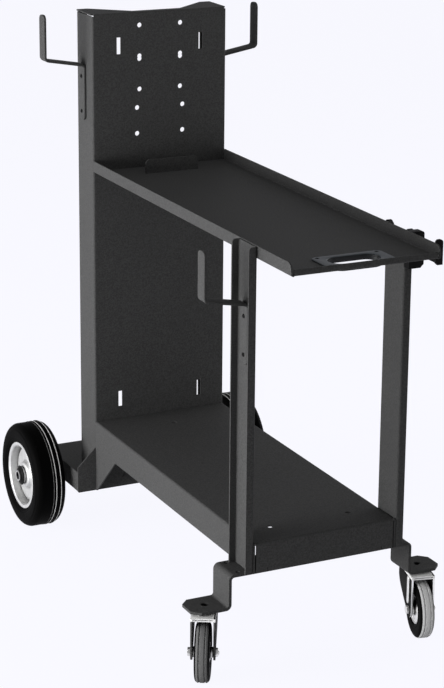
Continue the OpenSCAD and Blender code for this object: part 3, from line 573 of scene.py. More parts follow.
@dataclass
class Shell:
    """Points, in metres, and faces of one closed surface."""

    points: Points
    faces: list[tuple[int, ...]]

    @classmethod
    def grid(cls, points: Points, round_rows: bool = True, ends: bool = False) -> Shell:
        """A shell from a (rows, columns, 3) grid in millimetres, whose columns run round.

        Args:
            points: the grid.
            round_rows: join the last row to the first.
            ends: close the first and the last row with a face each.

        Returns:
            The shell.
        """
        rows, columns = points.shape[:2]
        faces = [tuple(f) for f in grid_faces(rows, columns, round_rows).tolist()]
        if ends:
            faces += [tuple(range(columns)), tuple(range((rows - 1) * columns, rows * columns))]
        return cls(points.reshape(-1, 3) * MM, faces)

    def moved(self, place: Matrix) -> Shell:
        """The shell carried by a matrix."""
        m = np.array(place, float)
        return Shell(self.points @ m[:3, :3].T + m[:3, 3], self.faces)


def shift(x: float, y: float, z: float) -> Matrix:
    """A move by millimetres."""
    return Matrix.Translation((x * MM, y * MM, z * MM))


def revolved(outline: Points, steps: int = 144) -> Shell:
    """Turns a closed outline of (radius, along) about the local X axis: (along, r sin a, r cos a).

    Args:
        outline: (n, 2) points.
        steps: points round.

    Returns:
        The closed ring.
    """
    angle = np.linspace(0, 2 * math.pi, steps, endpoint=False)[:, None]
    r, x = outline[None, :, 0], outline[None, :, 1]
    return Shell.grid(np.stack([x + 0 * angle, r * np.sin(angle), r * np.cos(angle)], -1))


def both_ways(outline: Points, steps: int = 144) -> list[Shell]:
    """Turns a closed outline and its mirror image at -along."""
    return [revolved(outline, steps), revolved(outline * np.array([1, -1]), steps)]


def prism(outline: Points, thickness: float, axis: int = 0) -> Shell:
    """A plate: the closed outline at 0 and at thickness along an axis, in the other two axes in order.

    Args:
        outline: (n, 2) points.
        thickness: of the plate.
        axis: number of the axis across the plate.

    Returns:
        The plate.
    """
    flat = [i for i in range(3) if i != axis]
    grid = np.zeros((2, len(outline), 3))
    grid[..., flat[0]], grid[..., flat[1]] = outline[:, 0], outline[:, 1]
    grid[1, :, axis] = thickness
    return Shell.grid(grid, round_rows=False, ends=True)


def curve(points: Sequence[Sequence[float]], steps: int = 6) -> Points:
    """A smooth open line through points.

    Between P1 and P2 the line is the Catmull-Rom cubic
    P1 + (P2-P0)/2 t + (P0 - 5/2 P1 + 2 P2 - P3/2) t^2 + (-P0/2 + 3/2 P1 - 3/2 P2 + P3/2) t^3.

    Args:
        points: (n, k) points.
        steps: points in each stretch.

    Returns:
        The line's points, the last one included.
    """
    p = np.asarray(points, float)
    q = np.concatenate([[2 * p[0] - p[1]], p, [2 * p[-1] - p[-2]]])
    a, b, c, d = (q[i : len(q) - 3 + i, None] for i in range(4))
    t = np.linspace(0, 1, steps, endpoint=False).reshape(1, -1, 1)
    line = b + (c - a) / 2 * t + (a - 2.5 * b + 2 * c - d / 2) * t**2 + (1.5 * (b - c) + (d - a) / 2) * t**3
    return np.concatenate([line.reshape(-1, p.shape[1]), p[-1:]])


def ribbon(line: Points, thickness: float) -> Points:
    """A closed outline round an open line in the plane: the line moved half the thickness to both sides.

    Args:
        line: (n, 2) points.
        thickness: width of the outline.

    Returns:
        (2 n, 2) points.
    """
    step = np.gradient(line, axis=0)
    side = np.stack([-step[:, 1], step[:, 0]], -1)
    side *= thickness / 2 / np.linalg.norm(side, axis=1, keepdims=True)
    return np.concatenate([line + side, (line - side)[::-1]])


def turned(rows: Sequence[tuple[Any, float]], steps: int = 96, through: bool = False) -> Shell:
    """A turned or milled body along local X.

    Args:
        rows: (radius, place along X), where the radius may be an array over the angle.
        steps: points round.
        through: join the last row to the first, for a body with a bore.

    Returns:
        The shell.
    """
    angle = np.linspace(0, 2 * math.pi, steps, endpoint=False)
    grid = [np.stack([np.zeros(steps) + x, r * np.sin(angle), r * np.cos(angle)], -1) for r, x in rows]
    return Shell.grid(np.stack(grid), round_rows=through, ends=not through)


def pin(radius: float, low: float, high: float, steps: int = 48) -> Shell:
    """A plain round bar along local X."""
    return turned([(radius, low), (radius, high)], steps)


def six_sided(flats: float, steps: int = 96) -> Points:
    """Radius of a hexagon over the angle: flats / 2 / cos(a), a within 30 degrees of a flat's middle."""
    angle = np.linspace(0, 2 * math.pi, steps, endpoint=False)
    return flats / 2 / np.cos((angle + math.pi / 6) % (math.pi / 3) - math.pi / 6)


def six_lobed(radius: float, depth: float, steps: int = 96) -> Points:
    """Radius of a six-lobed recess over the angle: radius + depth cos 6a."""
    return radius + depth * np.cos(6 * np.linspace(0, 2 * math.pi, steps, endpoint=False))


def button_head(radius: float, height: float, recess: Points, depth: float) -> Shell:
    """A low screw head with a milled recess; its foot lies at X = 0.

    Args:
        radius, height: of the head.
        recess, depth: radius and depth of the recess.

    Returns:
        The head.
    """
    return turned([
        (radius, -0.05 * height), (radius, 0.35 * height), (0.96 * radius, 0.62 * height),
        (0.84 * radius, 0.86 * height), (0.66 * radius, 0.98 * height), (recess * 1.1, height),
        (recess, height - 0.12 * depth), (recess * 0.97, height - depth),
    ])


def nut(flats: float, height: float, bore: float = 0.0) -> list[tuple[Any, float]]:
    """Rows of a hexagonal nut or head whose corners are turned off at 30 degrees on both faces.

    Args:
        flats: width across flats.
        height: of the nut.
        bore: radius of the hole, or 0.

    Returns:
        Rows for turned.
    """
    edge, face = six_sided(flats), 0.485 * flats
    drop = np.maximum(edge - face, 0) * math.tan(math.pi / 6)
    rows = [(face, 0.0), (edge, drop), (edge, height - drop), (face, height)]
    return [(bore, 0.0), *rows, (bore, height)] if bore else rows


@contextmanager
def edited(mesh: bpy.types.Mesh) -> Iterator[bmesh.types.BMesh]:
    """Opens a mesh for changes and writes them back.

    Args:
        mesh: the mesh.

    Yields:
        The mesh, open for changes.
    """
    work = bmesh.new()
    work.from_mesh(mesh)
    yield work
    work.to_mesh(mesh)
    work.free()


class Piece:
    """One visible piece: its shells in one mesh at the origin."""

    def __init__(self, name: str, shells: Sequence[Shell], sharp: float = 32.0) -> None:
        """Builds the mesh, welds its points, turns its faces outwards and shades it smooth.

        Args:
            name: the piece's name.
            shells: its closed surfaces.
            sharp: edges bent more than this many degrees stay sharp.
        """
        offsets = np.cumsum([0] + [len(s.points) for s in shells])
        points = np.concatenate([s.points for s in shells])
        faces = [tuple(i + int(o) for i in f) for s, o in zip(shells, offsets) for f in s.faces]
        mesh = bpy.data.meshes.new(name)
        mesh.from_pydata(points.tolist(), [], faces)
        self.sharp = sharp
        self.object = bpy.data.objects.new(name, mesh)
        bpy.context.scene.collection.objects.link(self.object)
        self._settle()

    def _settle(self) -> None:
        """Welds points, turns faces outwards and marks sharp edges."""
        mesh = self.object.data
        with edited(mesh) as work:
            bmesh.ops.remove_doubles(work, verts=work.verts, dist=1e-6)
            bmesh.ops.recalc_face_normals(work, faces=work.faces)
        mesh.shade_smooth()
        mesh.set_sharp_from_angle(angle=math.radians(self.sharp))

    def _apply(self, kind: str, **settings: Any) -> Piece:
        """Applies one modifier to the mesh.

        Args:
            kind: the modifier's type.
            settings: its settings.

        Returns:
            The piece.
        """
        modifier = self.object.modifiers.new(kind.lower(), kind)
        for key, value in settings.items():
            setattr(modifier, key, value)
        bpy.context.view_layer.update()
        graph = bpy.context.evaluated_depsgraph_get()
        mesh = bpy.data.meshes.new_from_object(self.object.evaluated_get(graph))
        self.object.modifiers.clear()
        old, self.object.data = self.object.data, mesh
        bpy.data.meshes.remove(old)
        self._settle()
        return self

    def cut(self, *cutters: Shell) -> Piece:
        """Takes the cutters' space out of the piece."""
        return self._join("DIFFERENCE", *cutters)

    def join(self, *others: Shell) -> Piece:
        """Adds closed shells to the piece as one solid."""
        return self._join("UNION", *others)

    def _join(self, operation: str, *shells: Shell) -> Piece:
        """One exact Boolean with each shell in turn.

        Args:
            operation: UNION or DIFFERENCE.
            shells: closed shells.

        Returns:
            The piece.
        """
        for shell in shells:
            tool = Piece("tool", [shell])
            self._apply("BOOLEAN", operation=operation, solver="EXACT", object=tool.object)
            bpy.data.objects.remove(tool.object)
        return self

    def absorb(self, other: Piece) -> Piece:
        """Takes in another piece's mesh as closed shells of its own.

        Args:
            other: a piece, which is used up.

        Returns:
            The piece.
        """
        with edited(self.object.data) as work:
            work.from_mesh(other.object.data)
        bpy.data.objects.remove(other.object)
        self._settle()
        return self

    def carry(self, place: Matrix) -> Piece:
        """Carries the mesh by a matrix.

        Args:
            place: the matrix.

        Returns:
            The piece.
        """
        self.object.data.transform(place)
        self.object.data.update()
        return self

    def rounded(self, width: float, segments: int = 2, angle: float = 40.0) -> Piece:
        """Rounds the edges that are sharper than angle."""
        limit = {"limit_method": "ANGLE", "angle_limit": math.radians(angle)}
        return self._apply("BEVEL", width=width, segments=segments, **limit)

    def dress(self, material: Material) -> Piece:
        """Gives the piece one material.

        Args:
            material: its finish.

        Returns:
            The piece.
        """
        self.object.data.materials.clear()
        self.object.data.materials.append(material)
        return self

    def stand_for(self, body: str, slot: str, *nodes: str) -> Piece:
        """Puts the piece on its body, in place of the frame's nodes.

        Args:
            body: the body that it moves with.
            slot: the material slot of its finish; not used.
            nodes: the nodes that it replaces.

        Returns:
            The piece.
        """
        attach(self.object, body)
        if nodes:
            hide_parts(*nodes)
        LOG.info("%s: %d faces on %s for %s", self.object.name, len(self.object.data.polygons), body, nodes)
        return self


class Side(Enum):
    """Left or right of the cart, as the sign of X."""

    LEFT = -1
    RIGHT = 1

    def of(self, name: str) -> str:
        """This side's name of a piece, body, node, joint or material."""
        return f"{self.name.lower()}_{name}"


def joint(name: str) -> tuple[Vector, Vector]:
    """A joint's point and its axis."""
    found = next(j for j in frame["joints"] if j["name"] == name)
    return Vector(found["pos_m"]), Vector(found["axis"]).normalized()


def along(centre: Vector, axis: Vector, up: Vector = Vector((0, 0, 1))) -> Matrix:
    """A place at centre whose X runs along axis, with its Z as near to up as it can be.

    Args:
        centre: the origin.
        axis: direction of X.
        up: the direction that Z leans to.

    Returns:
        The place.
    """
    x = axis.normalized()
    y = up.cross(x).normalized()
    z = x.cross(y)
    return Matrix.Translation(centre) @ Matrix((x, y, z)).transposed().to_4x4()


# Sheet metal


@dataclass
class Sheetwork:
    """The folded sheets: their own solids with the powder coat."""

    coat: PowderCoat = PowderCoat()
    nodes: tuple[str, ...] = (
        "column", "tray", "deck", "left_leg", "right_leg", "foot_bar", "bottle_platform", "left_gusset",
        "right_gusset",
    )

    def build(self) -> Material:
        """Dresses the sheets and gives back their material.

        Returns:
            The material.
        """
        coat = self.coat.material()
        for name in self.nodes:
            dress_node(name, coat)
        return coat


def dress_node(name: str, material: Material) -> None:
    """Gives a frame node a material.

    Args:
        name: the node.
        material: its finish.
    """
    mesh = frame["nodes"][name].data
    mesh.materials.clear()
    mesh.materials.append(material)
    LOG.info("%s: dressed as it is", name)


# Parts on both sides


@dataclass
class Sided:
    """A part that the cart has on each side, whose names start with the side's.

    Attributes that each kind of wheel gives:
        sides, tread: tones of a tyre's sides and of its tread, whose paler tone is a painted highlight.
        pale_from, pale_to: heights over the tread, in millimetres, between which the tone turns to the
            tread's painted highlight.
    """

    side: Side

    def piece(self, name: str, *shells: Shell) -> Piece:
        """A piece with this side's name."""
        return Piece(self.side.of(name), shells)

    def fit(self, piece: Piece, skin: Material, body: str, slot: str, *nodes: str) -> None:
        """Dresses a piece and puts it on this side's body, in place of this side's nodes."""
        piece.dress(skin).stand_for(self.side.of(body), slot, *map(self.side.of, nodes))

    def rubber(self, name: str, spin: str, radius: float) -> Material:
        """Rubber of a tyre of this radius, in millimetres, that turns about the joint.

        Args:
            name: the material's name.
            spin: the joint.
            radius: the tread's radius.

        Returns:
            The material.
        """
        centre, axle = joint(self.side.of(spin))
        low, high = (radius + self.pale_from) * MM, (radius + self.pale_to) * MM
        return Rubber(
            self.side.of(name), self.sides, self.tread, tuple(centre), tuple(axle), low, high).material()


# Rear wheels


@dataclass
class RearWheel(Sided):
    """A fixed wheel: ribbed rubber tyre, pressed zinc rim, hub tube and black bearing caps.

    Sizes are in millimetres.

    Attributes:
        ribs: place across the tread and height of each rib.
        hole_at, hole: distance of the disc's holes from the axle, and their radius.
    """

    zinc: Material
    rim_zinc: Material
    caps: Material
    half_width: float = 31.0
    bead: float = 60.0
    crown: float = 101.2
    ribs: tuple[tuple[float, float], ...] = ((-3.0, 0.5), (-8.4, 0.8), (-18.0, 0.8))
    sides: Colour = (0.0012, 0.0012, 0.0012)
    # The tread's tone is a painted highlight on the rib crowns
    tread: Colour = (0.6, 0.6, 0.6)
    pale_from: float = 0.3
    pale_to: float = 0.75
    hole_at: float = 44.5
    hole: float = 5.0
    steel: float = 2.25
    bore: float = 10.1
    hub: float = 15.0
    hub_half: float = 26.0
    cap: float = 19.0
    cap_tip: float = 30.0

    def centre(self) -> Vector:
        """The wheel's middle."""
        return joint(self.side.of("rear_wheel_spin"))[0]

    def place(self) -> Matrix:
        """X points out of the cart from the wheel's middle."""
        return along(self.centre(), Vector((self.side.value, 0, 0)))

    def tyre_outline(self) -> Points:
        """Bead, side with two moulded rings, shoulder, and the tread with its ribs.

        Returns:
            The closed outline as (radius, across).
        """
        w, c = self.half_width, self.crown
        flank = [
            (self.bead, 24.2), (64.5, 24.5), (67.0, 26.8), (71.6, w - 1.6), (72.6, w - 2.1), (74.0, w - 0.8),
            (80.0, w), (88.0, w), (90.2, w - 0.5), (91.4, w - 1.4), (95.0, w - 2.4), (98.2, w - 5.2),
            (100.3, w - 9.0), (c, w - 11.5),
        ]
        tread = [(c + r, y + a) for y, h in self.ribs for r, a in ((0, 1.1), (h, 0.5), (h, -0.5), (0, -1.1))]
        outline = flank + tread + [(r, -y) for r, y in reversed(flank)]
        radius = [1.0] * len(flank) + [0.3] * len(tread) + [1.0] * len(flank)
        return softened(outline, radius, 4)

    def tyre(self) -> None:
        """The tyre, with a painted highlight that makes its rib crowns paler."""
        tyre = self.piece("wheel_tyre", revolved(self.tyre_outline(), 192).moved(self.place()))
        rubber = self.rubber("tyre_rubber", "rear_wheel_spin", self.crown)
        self.fit(tyre, rubber, "rear_wheel", "tyre_rubber", "tyre")

    def disc_line(self) -> Points:
        """Middle line of a pressed disc from the hub to the barrel.

        Returns:
            (n, 2) points as (radius, across).
        """
        return curve([
            (15.3, 20.4), (19.0, 20.3), (22.8, 19.0), (25.6, 15.2), (28.4, 12.4), (32.0, 11.6), (41.0, 11.7),
            (47.5, 11.9), (51.0, 11.2), (53.8, 8.6), (57.3, 7.2),
        ], 5)

    def rim(self) -> None:
        """Barrel with curled edges and two pressed discs with three collared holes each."""
        b, place = self.bead, self.place()
        barrel = softened(mirrored([
            (b, 24.4), (b + 3.4, 24.9), (b + 5.0, 25.6), (b + 5.0, 27.2), (b + 3.0, 27.5), (b - 0.8, 27.2),
            (b - 2.5, 25.0),
        ]), 1.6, 5)
        angle = np.radians(np.arange(3) * 120.0)
        across = np.stack([np.sin(angle), np.cos(angle)], -1) * self.hole_at
        spots = [place @ shift(0, y, z) for y, z in across]
        collar = softened([(self.hole, 13.0), (self.hole, 14.7), (6.6, 14.2), (7.6, 13.4)], 0.5, 4)
        discs = Piece("discs", [s.moved(place) for s in both_ways(ribbon(self.disc_line(), self.steel))])
        discs.cut(*(pin(self.hole, -40, 40).moved(spot) for spot in spots))
        collars = [revolved(collar, 48).moved(spot) for spot in spots]
        rim = self.piece("wheel_rim", revolved(barrel).moved(place), *collars).absorb(discs)
        self.fit(rim, self.rim_zinc, "rear_wheel", "zinc", "rim", "wheel_discs")

    def hub_parts(self) -> None:
        """Hub tube, and a black cone at each end of it."""
        place, end, tip = self.place(), self.hub_half, self.cap_tip
        outline = softened(mirrored([(self.bore, end), (self.hub, end)]), 0.5, 3)
        tube = self.piece("wheel_hub", revolved(outline, 96).moved(place))
        self.fit(tube, self.zinc, "rear_wheel", "zinc", "hub")
        step = (tip - end) / 4
        cone = softened([
            (self.bore, end), (self.cap, end), (self.cap, end + step), (16.8, end + 1.7 * step),
            (13.6, tip - 0.3), (12.2, tip), (self.bore, tip),
        ], 0.6, 4)
        cones = self.piece("wheel_caps", *(s.moved(place) for s in both_ways(cone, 96)))
        self.fit(cones, self.caps, "rear_wheel", "black_plastic", "hub_caps")

    def build(self) -> None:
        """Builds the wheel."""
        self.tyre()
        self.rim()
        self.hub_parts()


@dataclass
class RetainingRings:
    """Spring rings in the stub axles' grooves, open at the foot between two eyes. Sizes in millimetres."""

    zinc: Material
    inner: float = 9.25
    outer: float = 12.4
    thickness: float = 1.2
    gap: float = 26.0
    eye: float = 0.2
    steps: int = 72

    def ring(self, side: Side) -> Shell:
        """A bar of even section along most of a circle, wider at its two ends.

        Args:
            side: the side of the cart.

        Returns:
            The ring in its groove.
        """
        low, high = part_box("axle_clips")
        centre, _ = joint(side.of("rear_wheel_spin"))
        outer_face = high.x if side is Side.RIGHT else low.x
        angle = np.radians(np.linspace(self.gap, 360 - self.gap, self.steps))[:, None] + math.pi
        outer = self.outer + self.eye * np.abs(np.linspace(-1, 1, self.steps)[:, None]) ** 16
        r = np.concatenate([np.full((self.steps, 2), self.inner), np.repeat(outer, 2, axis=1)], axis=1)
        x = np.array([[0, self.thickness, self.thickness, 0]]) + 0 * r
        grid = np.stack([-side.value * x, r * np.sin(angle), r * np.cos(angle)], -1)
        place = Matrix.Translation((outer_face, centre.y, centre.z))
        return Shell.grid(grid, round_rows=False, ends=True).moved(place)

    def build(self) -> None:
        """Both rings are one piece."""
        rings = Piece("axle_rings", [self.ring(side) for side in Side])
        rings.dress(self.zinc).stand_for("frame", "zinc", "axle_clips")


# Casters


@dataclass
class Caster(Sided):
    """A swivel caster: pressed fork, grooved rubber wheel, pressed hub, bolt and nut.

    Sizes are in millimetres, from the floor under the swivel's axis.

    Attributes:
        tail: how far the crown reaches back behind the wheel's axle.
        lip: depth of the crown's folded front edge, from its top.
        rib_back, rib_up: the pressed rib's middle, behind the axle and above the floor.
        rib_reach, rib_half: half the straight length of a rib, and half its width.
        rib_sunk, rib_high: how deep a rib starts in the side, and its height from there.
    """

    zinc: Material
    steel_skin: Material
    rib_skin: Material
    tread: Colour
    sides: Colour = (0.0014, 0.0014, 0.0014)
    pale_from: float = -1.9
    pale_to: float = -0.9
    radius: float = 51.0
    tyre_half: float = 13.0
    hub_radius: float = 26.0
    trail: float = 28.0
    fork_half: float = 20.75
    steel: float = 3.2
    nose: float = 13.5
    tail: float = 59.985
    lip: float = 5.4
    crown_top: float = 116.0
    skirt_low: float = 105.6
    skirt: float = 19.5
    rib_back: float = 8.0
    rib_up: float = 85.0
    rib_reach: float = 20.0
    rib_half: float = 5.5
    rib_sunk: float = 0.2
    rib_high: float = 1.3
    pin: float = 6.35
    bolt: float = 4.0
    flats: float = 13.0
    nut_height: float = 5.4

    def swivel(self) -> Matrix:
        """Origin on the floor under the swivel, X along the wheel's axle, Y towards the fork's back.

        Returns:
            The place.
        """
        point, _ = joint(self.side.of("swivel_turn"))
        _, axle = joint(self.side.of("caster_spin"))
        return along(Vector((point.x, point.y, 0)), axle)

    def wheel(self) -> Matrix:
        """Origin at the wheel's middle, with the same directions."""
        return self.swivel() @ shift(0, -self.trail, self.radius)

    def fork_outline(self) -> Points:
        """Side of the fork: straight front, round nose, and a back that sweeps up to the crown.

        Returns:
            The closed outline as (back, height) from the swivel's axis.
        """
        r, top = self.radius, self.crown_top
        nose = np.radians(np.linspace(180, 318, 24))
        round_nose = np.stack([self.nose * np.cos(nose), r + self.nose * np.sin(nose)], -1)
        back = curve([
            round_nose[-1], (19.5, r - 0.5), (31.0, r + 7.6), (43.2, r + 17.5), (53.5, r + 25.8),
            (60.6, r + 35.0), (64.0, r + 44.0), (63.4, r + 54.0), (60.0, top),
        ], 5)
        return np.concatenate([[(-self.nose, top)], round_nose, back[1:]]) - np.array([self.trail, 0])

    def fork(self) -> None:
        """Two sides, a crown with a folded front edge, and the skirt round the balls, as one solid."""
        place, half, t, top = self.swivel(), self.fork_half, self.steel, self.crown_top
        front, tail = 0.1 - self.nose - self.trail, self.tail - self.trail
        outline = self.fork_outline()
        sides = [prism(outline, t).moved(shift(x, 0, 0)) for x in (-half, half - t)]
        crown = prism(rectangle(-half, front, half, tail), t, axis=2).moved(shift(0, 0, top - t))
        lip = rectangle(front, top - self.lip, front + t, top - 0.5 * t)
        fold = prism(lip, 2 * half - t).moved(shift(0.5 * t - half, 0, 0))
        skirt, low = self.skirt, self.skirt_low
        ring = turned([
            (skirt - t, low), (skirt - 0.6, low), (skirt, low + 0.8), (skirt, top - 0.4),
            (skirt - t, top - 0.4),
        ], through=True).moved(UPRIGHT)
        bore = pin(self.pin, top - 3 * t, top + t, 64).moved(UPRIGHT)
        eye = pin(self.bolt, -2 * half, 2 * half).moved(shift(0, -self.trail, self.radius))
        fork = self.piece("fork", sides[0]).join(sides[1], crown, fold, ring).cut(bore, eye)
        fork.rounded(0.7 * MM, 2, 50).carry(place)
        self.fit(fork, self.steel_skin, "swivel", "zinc", "caster_fork")
        ribs = self.piece("fork_ribs", *(self.rib(sign).moved(place) for sign in (-1, 1)))
        self.fit(ribs, self.rib_skin, "swivel", "zinc")

    def rib(self, sign: int) -> Shell:
        """Pressed rib on a side: half an ellipsoid whose two ends are drawn apart along Z.

        Args:
            sign: -1 or 1, the side of the fork.

        Returns:
            The rib, in the swivel's place.
        """
        u = np.linspace(0, math.pi, 17)[:, None]
        v = np.linspace(0, 2 * math.pi, 48, endpoint=False)[None, :]
        z = self.rib_up + np.sign(np.cos(v)) * self.rib_reach + self.rib_half * np.sin(u) * np.cos(v)
        y = self.rib_back - self.trail + self.rib_half * np.sin(u) * np.sin(v)
        x = sign * (self.fork_half - self.rib_sunk + self.rib_high * np.cos(u))
        return Shell.grid(np.stack([x + 0 * v, y, z], -1), round_rows=False, ends=True)

    def tyre(self) -> None:
        """Rounded shoulders and two grooves in a paler tread."""
        w, r = self.tyre_half, self.radius
        half = [
            (self.hub_radius, w - 2.2), (self.hub_radius + 2.2, w - 0.2), (33.0, w), (34.0, w - 0.5),
            (35.2, w), (43.5, w), (47.4, w - 1.0), (50.0, w - 3.4), (r, w - 6.2), (r, 6.2), (r - 1.2, 5.9),
            (r - 1.2, 4.1), (r, 3.8),
        ]
        soft = [1.2, 1.2, 0.5, 0.5, 0.5, 2.0, 2.0, 2.0, 1.5, 0.3, 0.3, 0.3, 0.3]
        shell = revolved(softened(mirrored(half), soft + soft[::-1], 4), 160)
        tyre = self.piece("caster_wheel", shell.moved(self.wheel()))
        rubber = self.rubber("caster_rubber", "caster_spin", r)
        self.fit(tyre, rubber, "caster_wheel", "caster_rubber", "caster_tyre")

    def hub(self) -> None:
        """Tube and two dished sides pressed into the tyre."""
        w, tube, bore = self.tyre_half, self.fork_half - self.steel - 0.6, self.bolt + 0.05
        half = [
            (bore, tube), (8.6, tube), (9.0, tube - 0.4), (9.2, w + 0.4), (10.4, w - 0.2), (13.6, w - 1.0),
            (17.4, w - 2.8), (20.6, w - 4.2), (23.2, w - 4.0), (25.2, w - 2.6), (25.95, w - 2.2),
        ]
        centre = self.piece("caster_centre", revolved(softened(mirrored(half), 1.0, 3)).moved(self.wheel()))
        self.fit(centre, self.zinc, "caster_wheel", "zinc", "caster_hub", "caster_dish")

    def bolt_and_nut(self) -> None:
        """Hexagonal head, washer faces, threaded end, and a nut with a collar."""
        f, h, b = self.fork_half, self.nut_height, self.bolt
        end = f + h + 1.0
        turns = np.linspace(f + h - 0.6, end - 0.5, 7)
        wave = b * (1 - 0.05 * (np.arange(7) % 2))
        head = turned([(r, f + x) for r, x in nut(self.flats, h)]).moved(Matrix.Rotation(math.pi, 4, "Z"))
        shank = turned([(b, -f - 0.5 * h), *zip(wave, turns), (0.8 * b, end)], 48)
        body = turned([(r, f + x) for r, x in nut(self.flats, 0.8 * h, b)], through=True)
        collar = turned([
            (b, f + 0.7 * h), (5.6, f + 0.7 * h), (5.6, f + 0.9 * h), (5.0, f + h), (b, f + h),
        ], 64, through=True)
        for name, shells in (("bolt", (head, shank)), ("nut", (body, collar))):
            piece = self.piece(name, *(shell.moved(self.wheel()) for shell in shells))
            self.fit(piece, self.zinc, "swivel", "zinc", f"caster_{name}")

    def build(self) -> None:
        """Builds the caster; its race and kingpin are the frame's own."""
        self.fork()
        self.tyre()
        self.hub()
        self.bolt_and_nut()


# Hooks and screws


@dataclass
class CableHook:
    """A hook bent from flat bar with rounded edges and ends. Sizes in millimetres."""

    node: str
    width: float = 25.0
    thickness: float = 4.4
    plate: float = 103.0
    reach: float = 81.0
    rise: float = 10.0
    height: float = 198.0
    corner: float = 9.0
    bend: float = 5.0
    edge: float = 0.9
    screws: tuple[float, float] = (16.0, 81.0)

    def line(self) -> Points:
        """Middle line: up the plate, round a bend, along the arm, round the other bend, up to the tip.

        Returns:
            (n, 2) points as (out, up).
        """
        r, t = self.bend + self.thickness / 2, self.thickness
        rise = math.radians(self.rise)
        lean = r * np.array([-math.sin(rise), math.cos(rise)])
        first = np.array([t / 2 + r, self.plate - r])
        end = self.reach - t / 2
        run = (end - r + r * math.sin(rise) - (first + lean)[0]) / math.cos(rise)
        second = first + 2 * lean + run * np.array([math.cos(rise), math.sin(rise)])
        near = self.corner * (1 - np.cos(np.linspace(0, math.pi / 2, 10)))
        foot = np.stack([np.full(10, t / 2), near], -1)
        tip = np.stack([np.full(10, end), self.height - near[::-1]], -1)
        starts, stops = (math.pi, 1.5 * math.pi + rise), (math.pi / 2 + rise, 2 * math.pi)
        turns = np.linspace(starts, stops, 14).T[..., None]
        bends = np.stack([first, second])[:, None] + r * np.concatenate([np.cos(turns), np.sin(turns)], -1)
        return np.concatenate([foot, *bends, tip])

    def bar(self) -> Shell:
        """The bar as a rectangle with rounded edges, carried along the line.

        Near an end its half width is width / 2 - corner + sqrt(corner^2 - (corner - d)^2) at the
        distance d from that end.

        Returns:
            The bar, with its foot at the origin and X outwards.
        """
        line = self.line()
        step = np.gradient(line, axis=0)
        side = np.stack([-step[:, 1], step[:, 0]], -1) / np.linalg.norm(step, axis=1, keepdims=True)
        from_end = np.minimum(np.minimum(line[:, 1], self.height - line[:, 1]), self.corner)
        half = self.width / 2 - self.corner + np.sqrt(self.corner**2 - (self.corner - from_end) ** 2)
        angle, sx, sy = quarters(5)
        across = sx * (half[:, None] - self.edge) + self.edge * np.cos(angle)
        thick = sy * (self.thickness / 2 - self.edge) + self.edge * np.sin(angle)
        plane = line[:, None, :] + side[:, None, :] * thick[None, :, None]
        return Shell.grid(np.stack([plane[..., 0], across, plane[..., 1]], -1), round_rows=False, ends=True)

    def foot(self) -> Matrix:
        """Origin in the middle of the plate's foot on the cart, X away from the cart's middle.

        Returns:
            The place.
        """
        low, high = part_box(self.node)
        sign = -1 if low.x < 0 else 1
        face = high.x if sign < 0 else low.x
        return Matrix.Translation((face, (low.y + high.y) / 2, low.z)) @ Matrix.Diagonal((sign, 1, 1, 1))

    def screw_places(self) -> list[Matrix]:
        """Where the screws' heads stand on the plate, X outwards.

        Returns:
            One place for each screw.
        """
        foot = self.foot()
        spots = [foot @ Vector((self.thickness * MM, 0, z * MM)) for z in self.screws]
        return [along(spot, foot.col[0].xyz) for spot in spots]

    def build(self, coat: Material) -> None:
        """Stands the bar on the face that the frame's hook stands on."""
        bar = Piece(f"{self.node}_bar", [self.bar().moved(self.foot())], sharp=50)
        bar.dress(coat).stand_for("frame", "powder_coat", self.node)


@dataclass
class Screws:
    """Screw heads with a milled recess, each on its own shank. Sizes in millimetres."""

    black: Material

    def fit(self, name: str, head: Shell, shank: Shell, places: Sequence[Matrix], node: str) -> None:
        """Puts a head and its shank at each place, as one piece in place of the node."""
        screws = Piece(name, [part.moved(place) for place in places for part in (head, shank)])
        screws.dress(self.black).stand_for("frame", "black_screws", node)

    def hook_screws(self, hooks: Sequence[CableHook]) -> None:
        """Two low heads on each hook's plate.

        Args:
            hooks: the cable hooks.
        """
        head = button_head(3.6, 1.7, six_sided(3.2), 1.1)
        places = [place for hook in hooks for place in hook.screw_places()]
        self.fit("hook_screw_heads", head, pin(2.5, -9, 0.1, 32), places, "hook_screws")

    def bezel_screws(self, height: float = 1.4) -> None:
        """Four countersunk heads in the grip's bezel.

        Args:
            height: a head's height.
        """
        low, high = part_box("handle_screws")
        middle = Vector(((low.x + high.x) / 2, (low.y + high.y) / 2, high.z - height * MM))
        head = button_head(3.4, height, six_lobed(1.45, 0.28), 0.9)
        spots = [middle + Vector((x * MM, y * MM, 0)) for x, y in Grip.screw_spots()]
        places = [along(spot, Vector((0, 0, 1)), Vector((0, 1, 0))) for spot in spots]
        self.fit("bezel_screw_heads", head, pin(1.8, -5, 0.1, 32), places, "handle_screws")


# Grip and torch holder


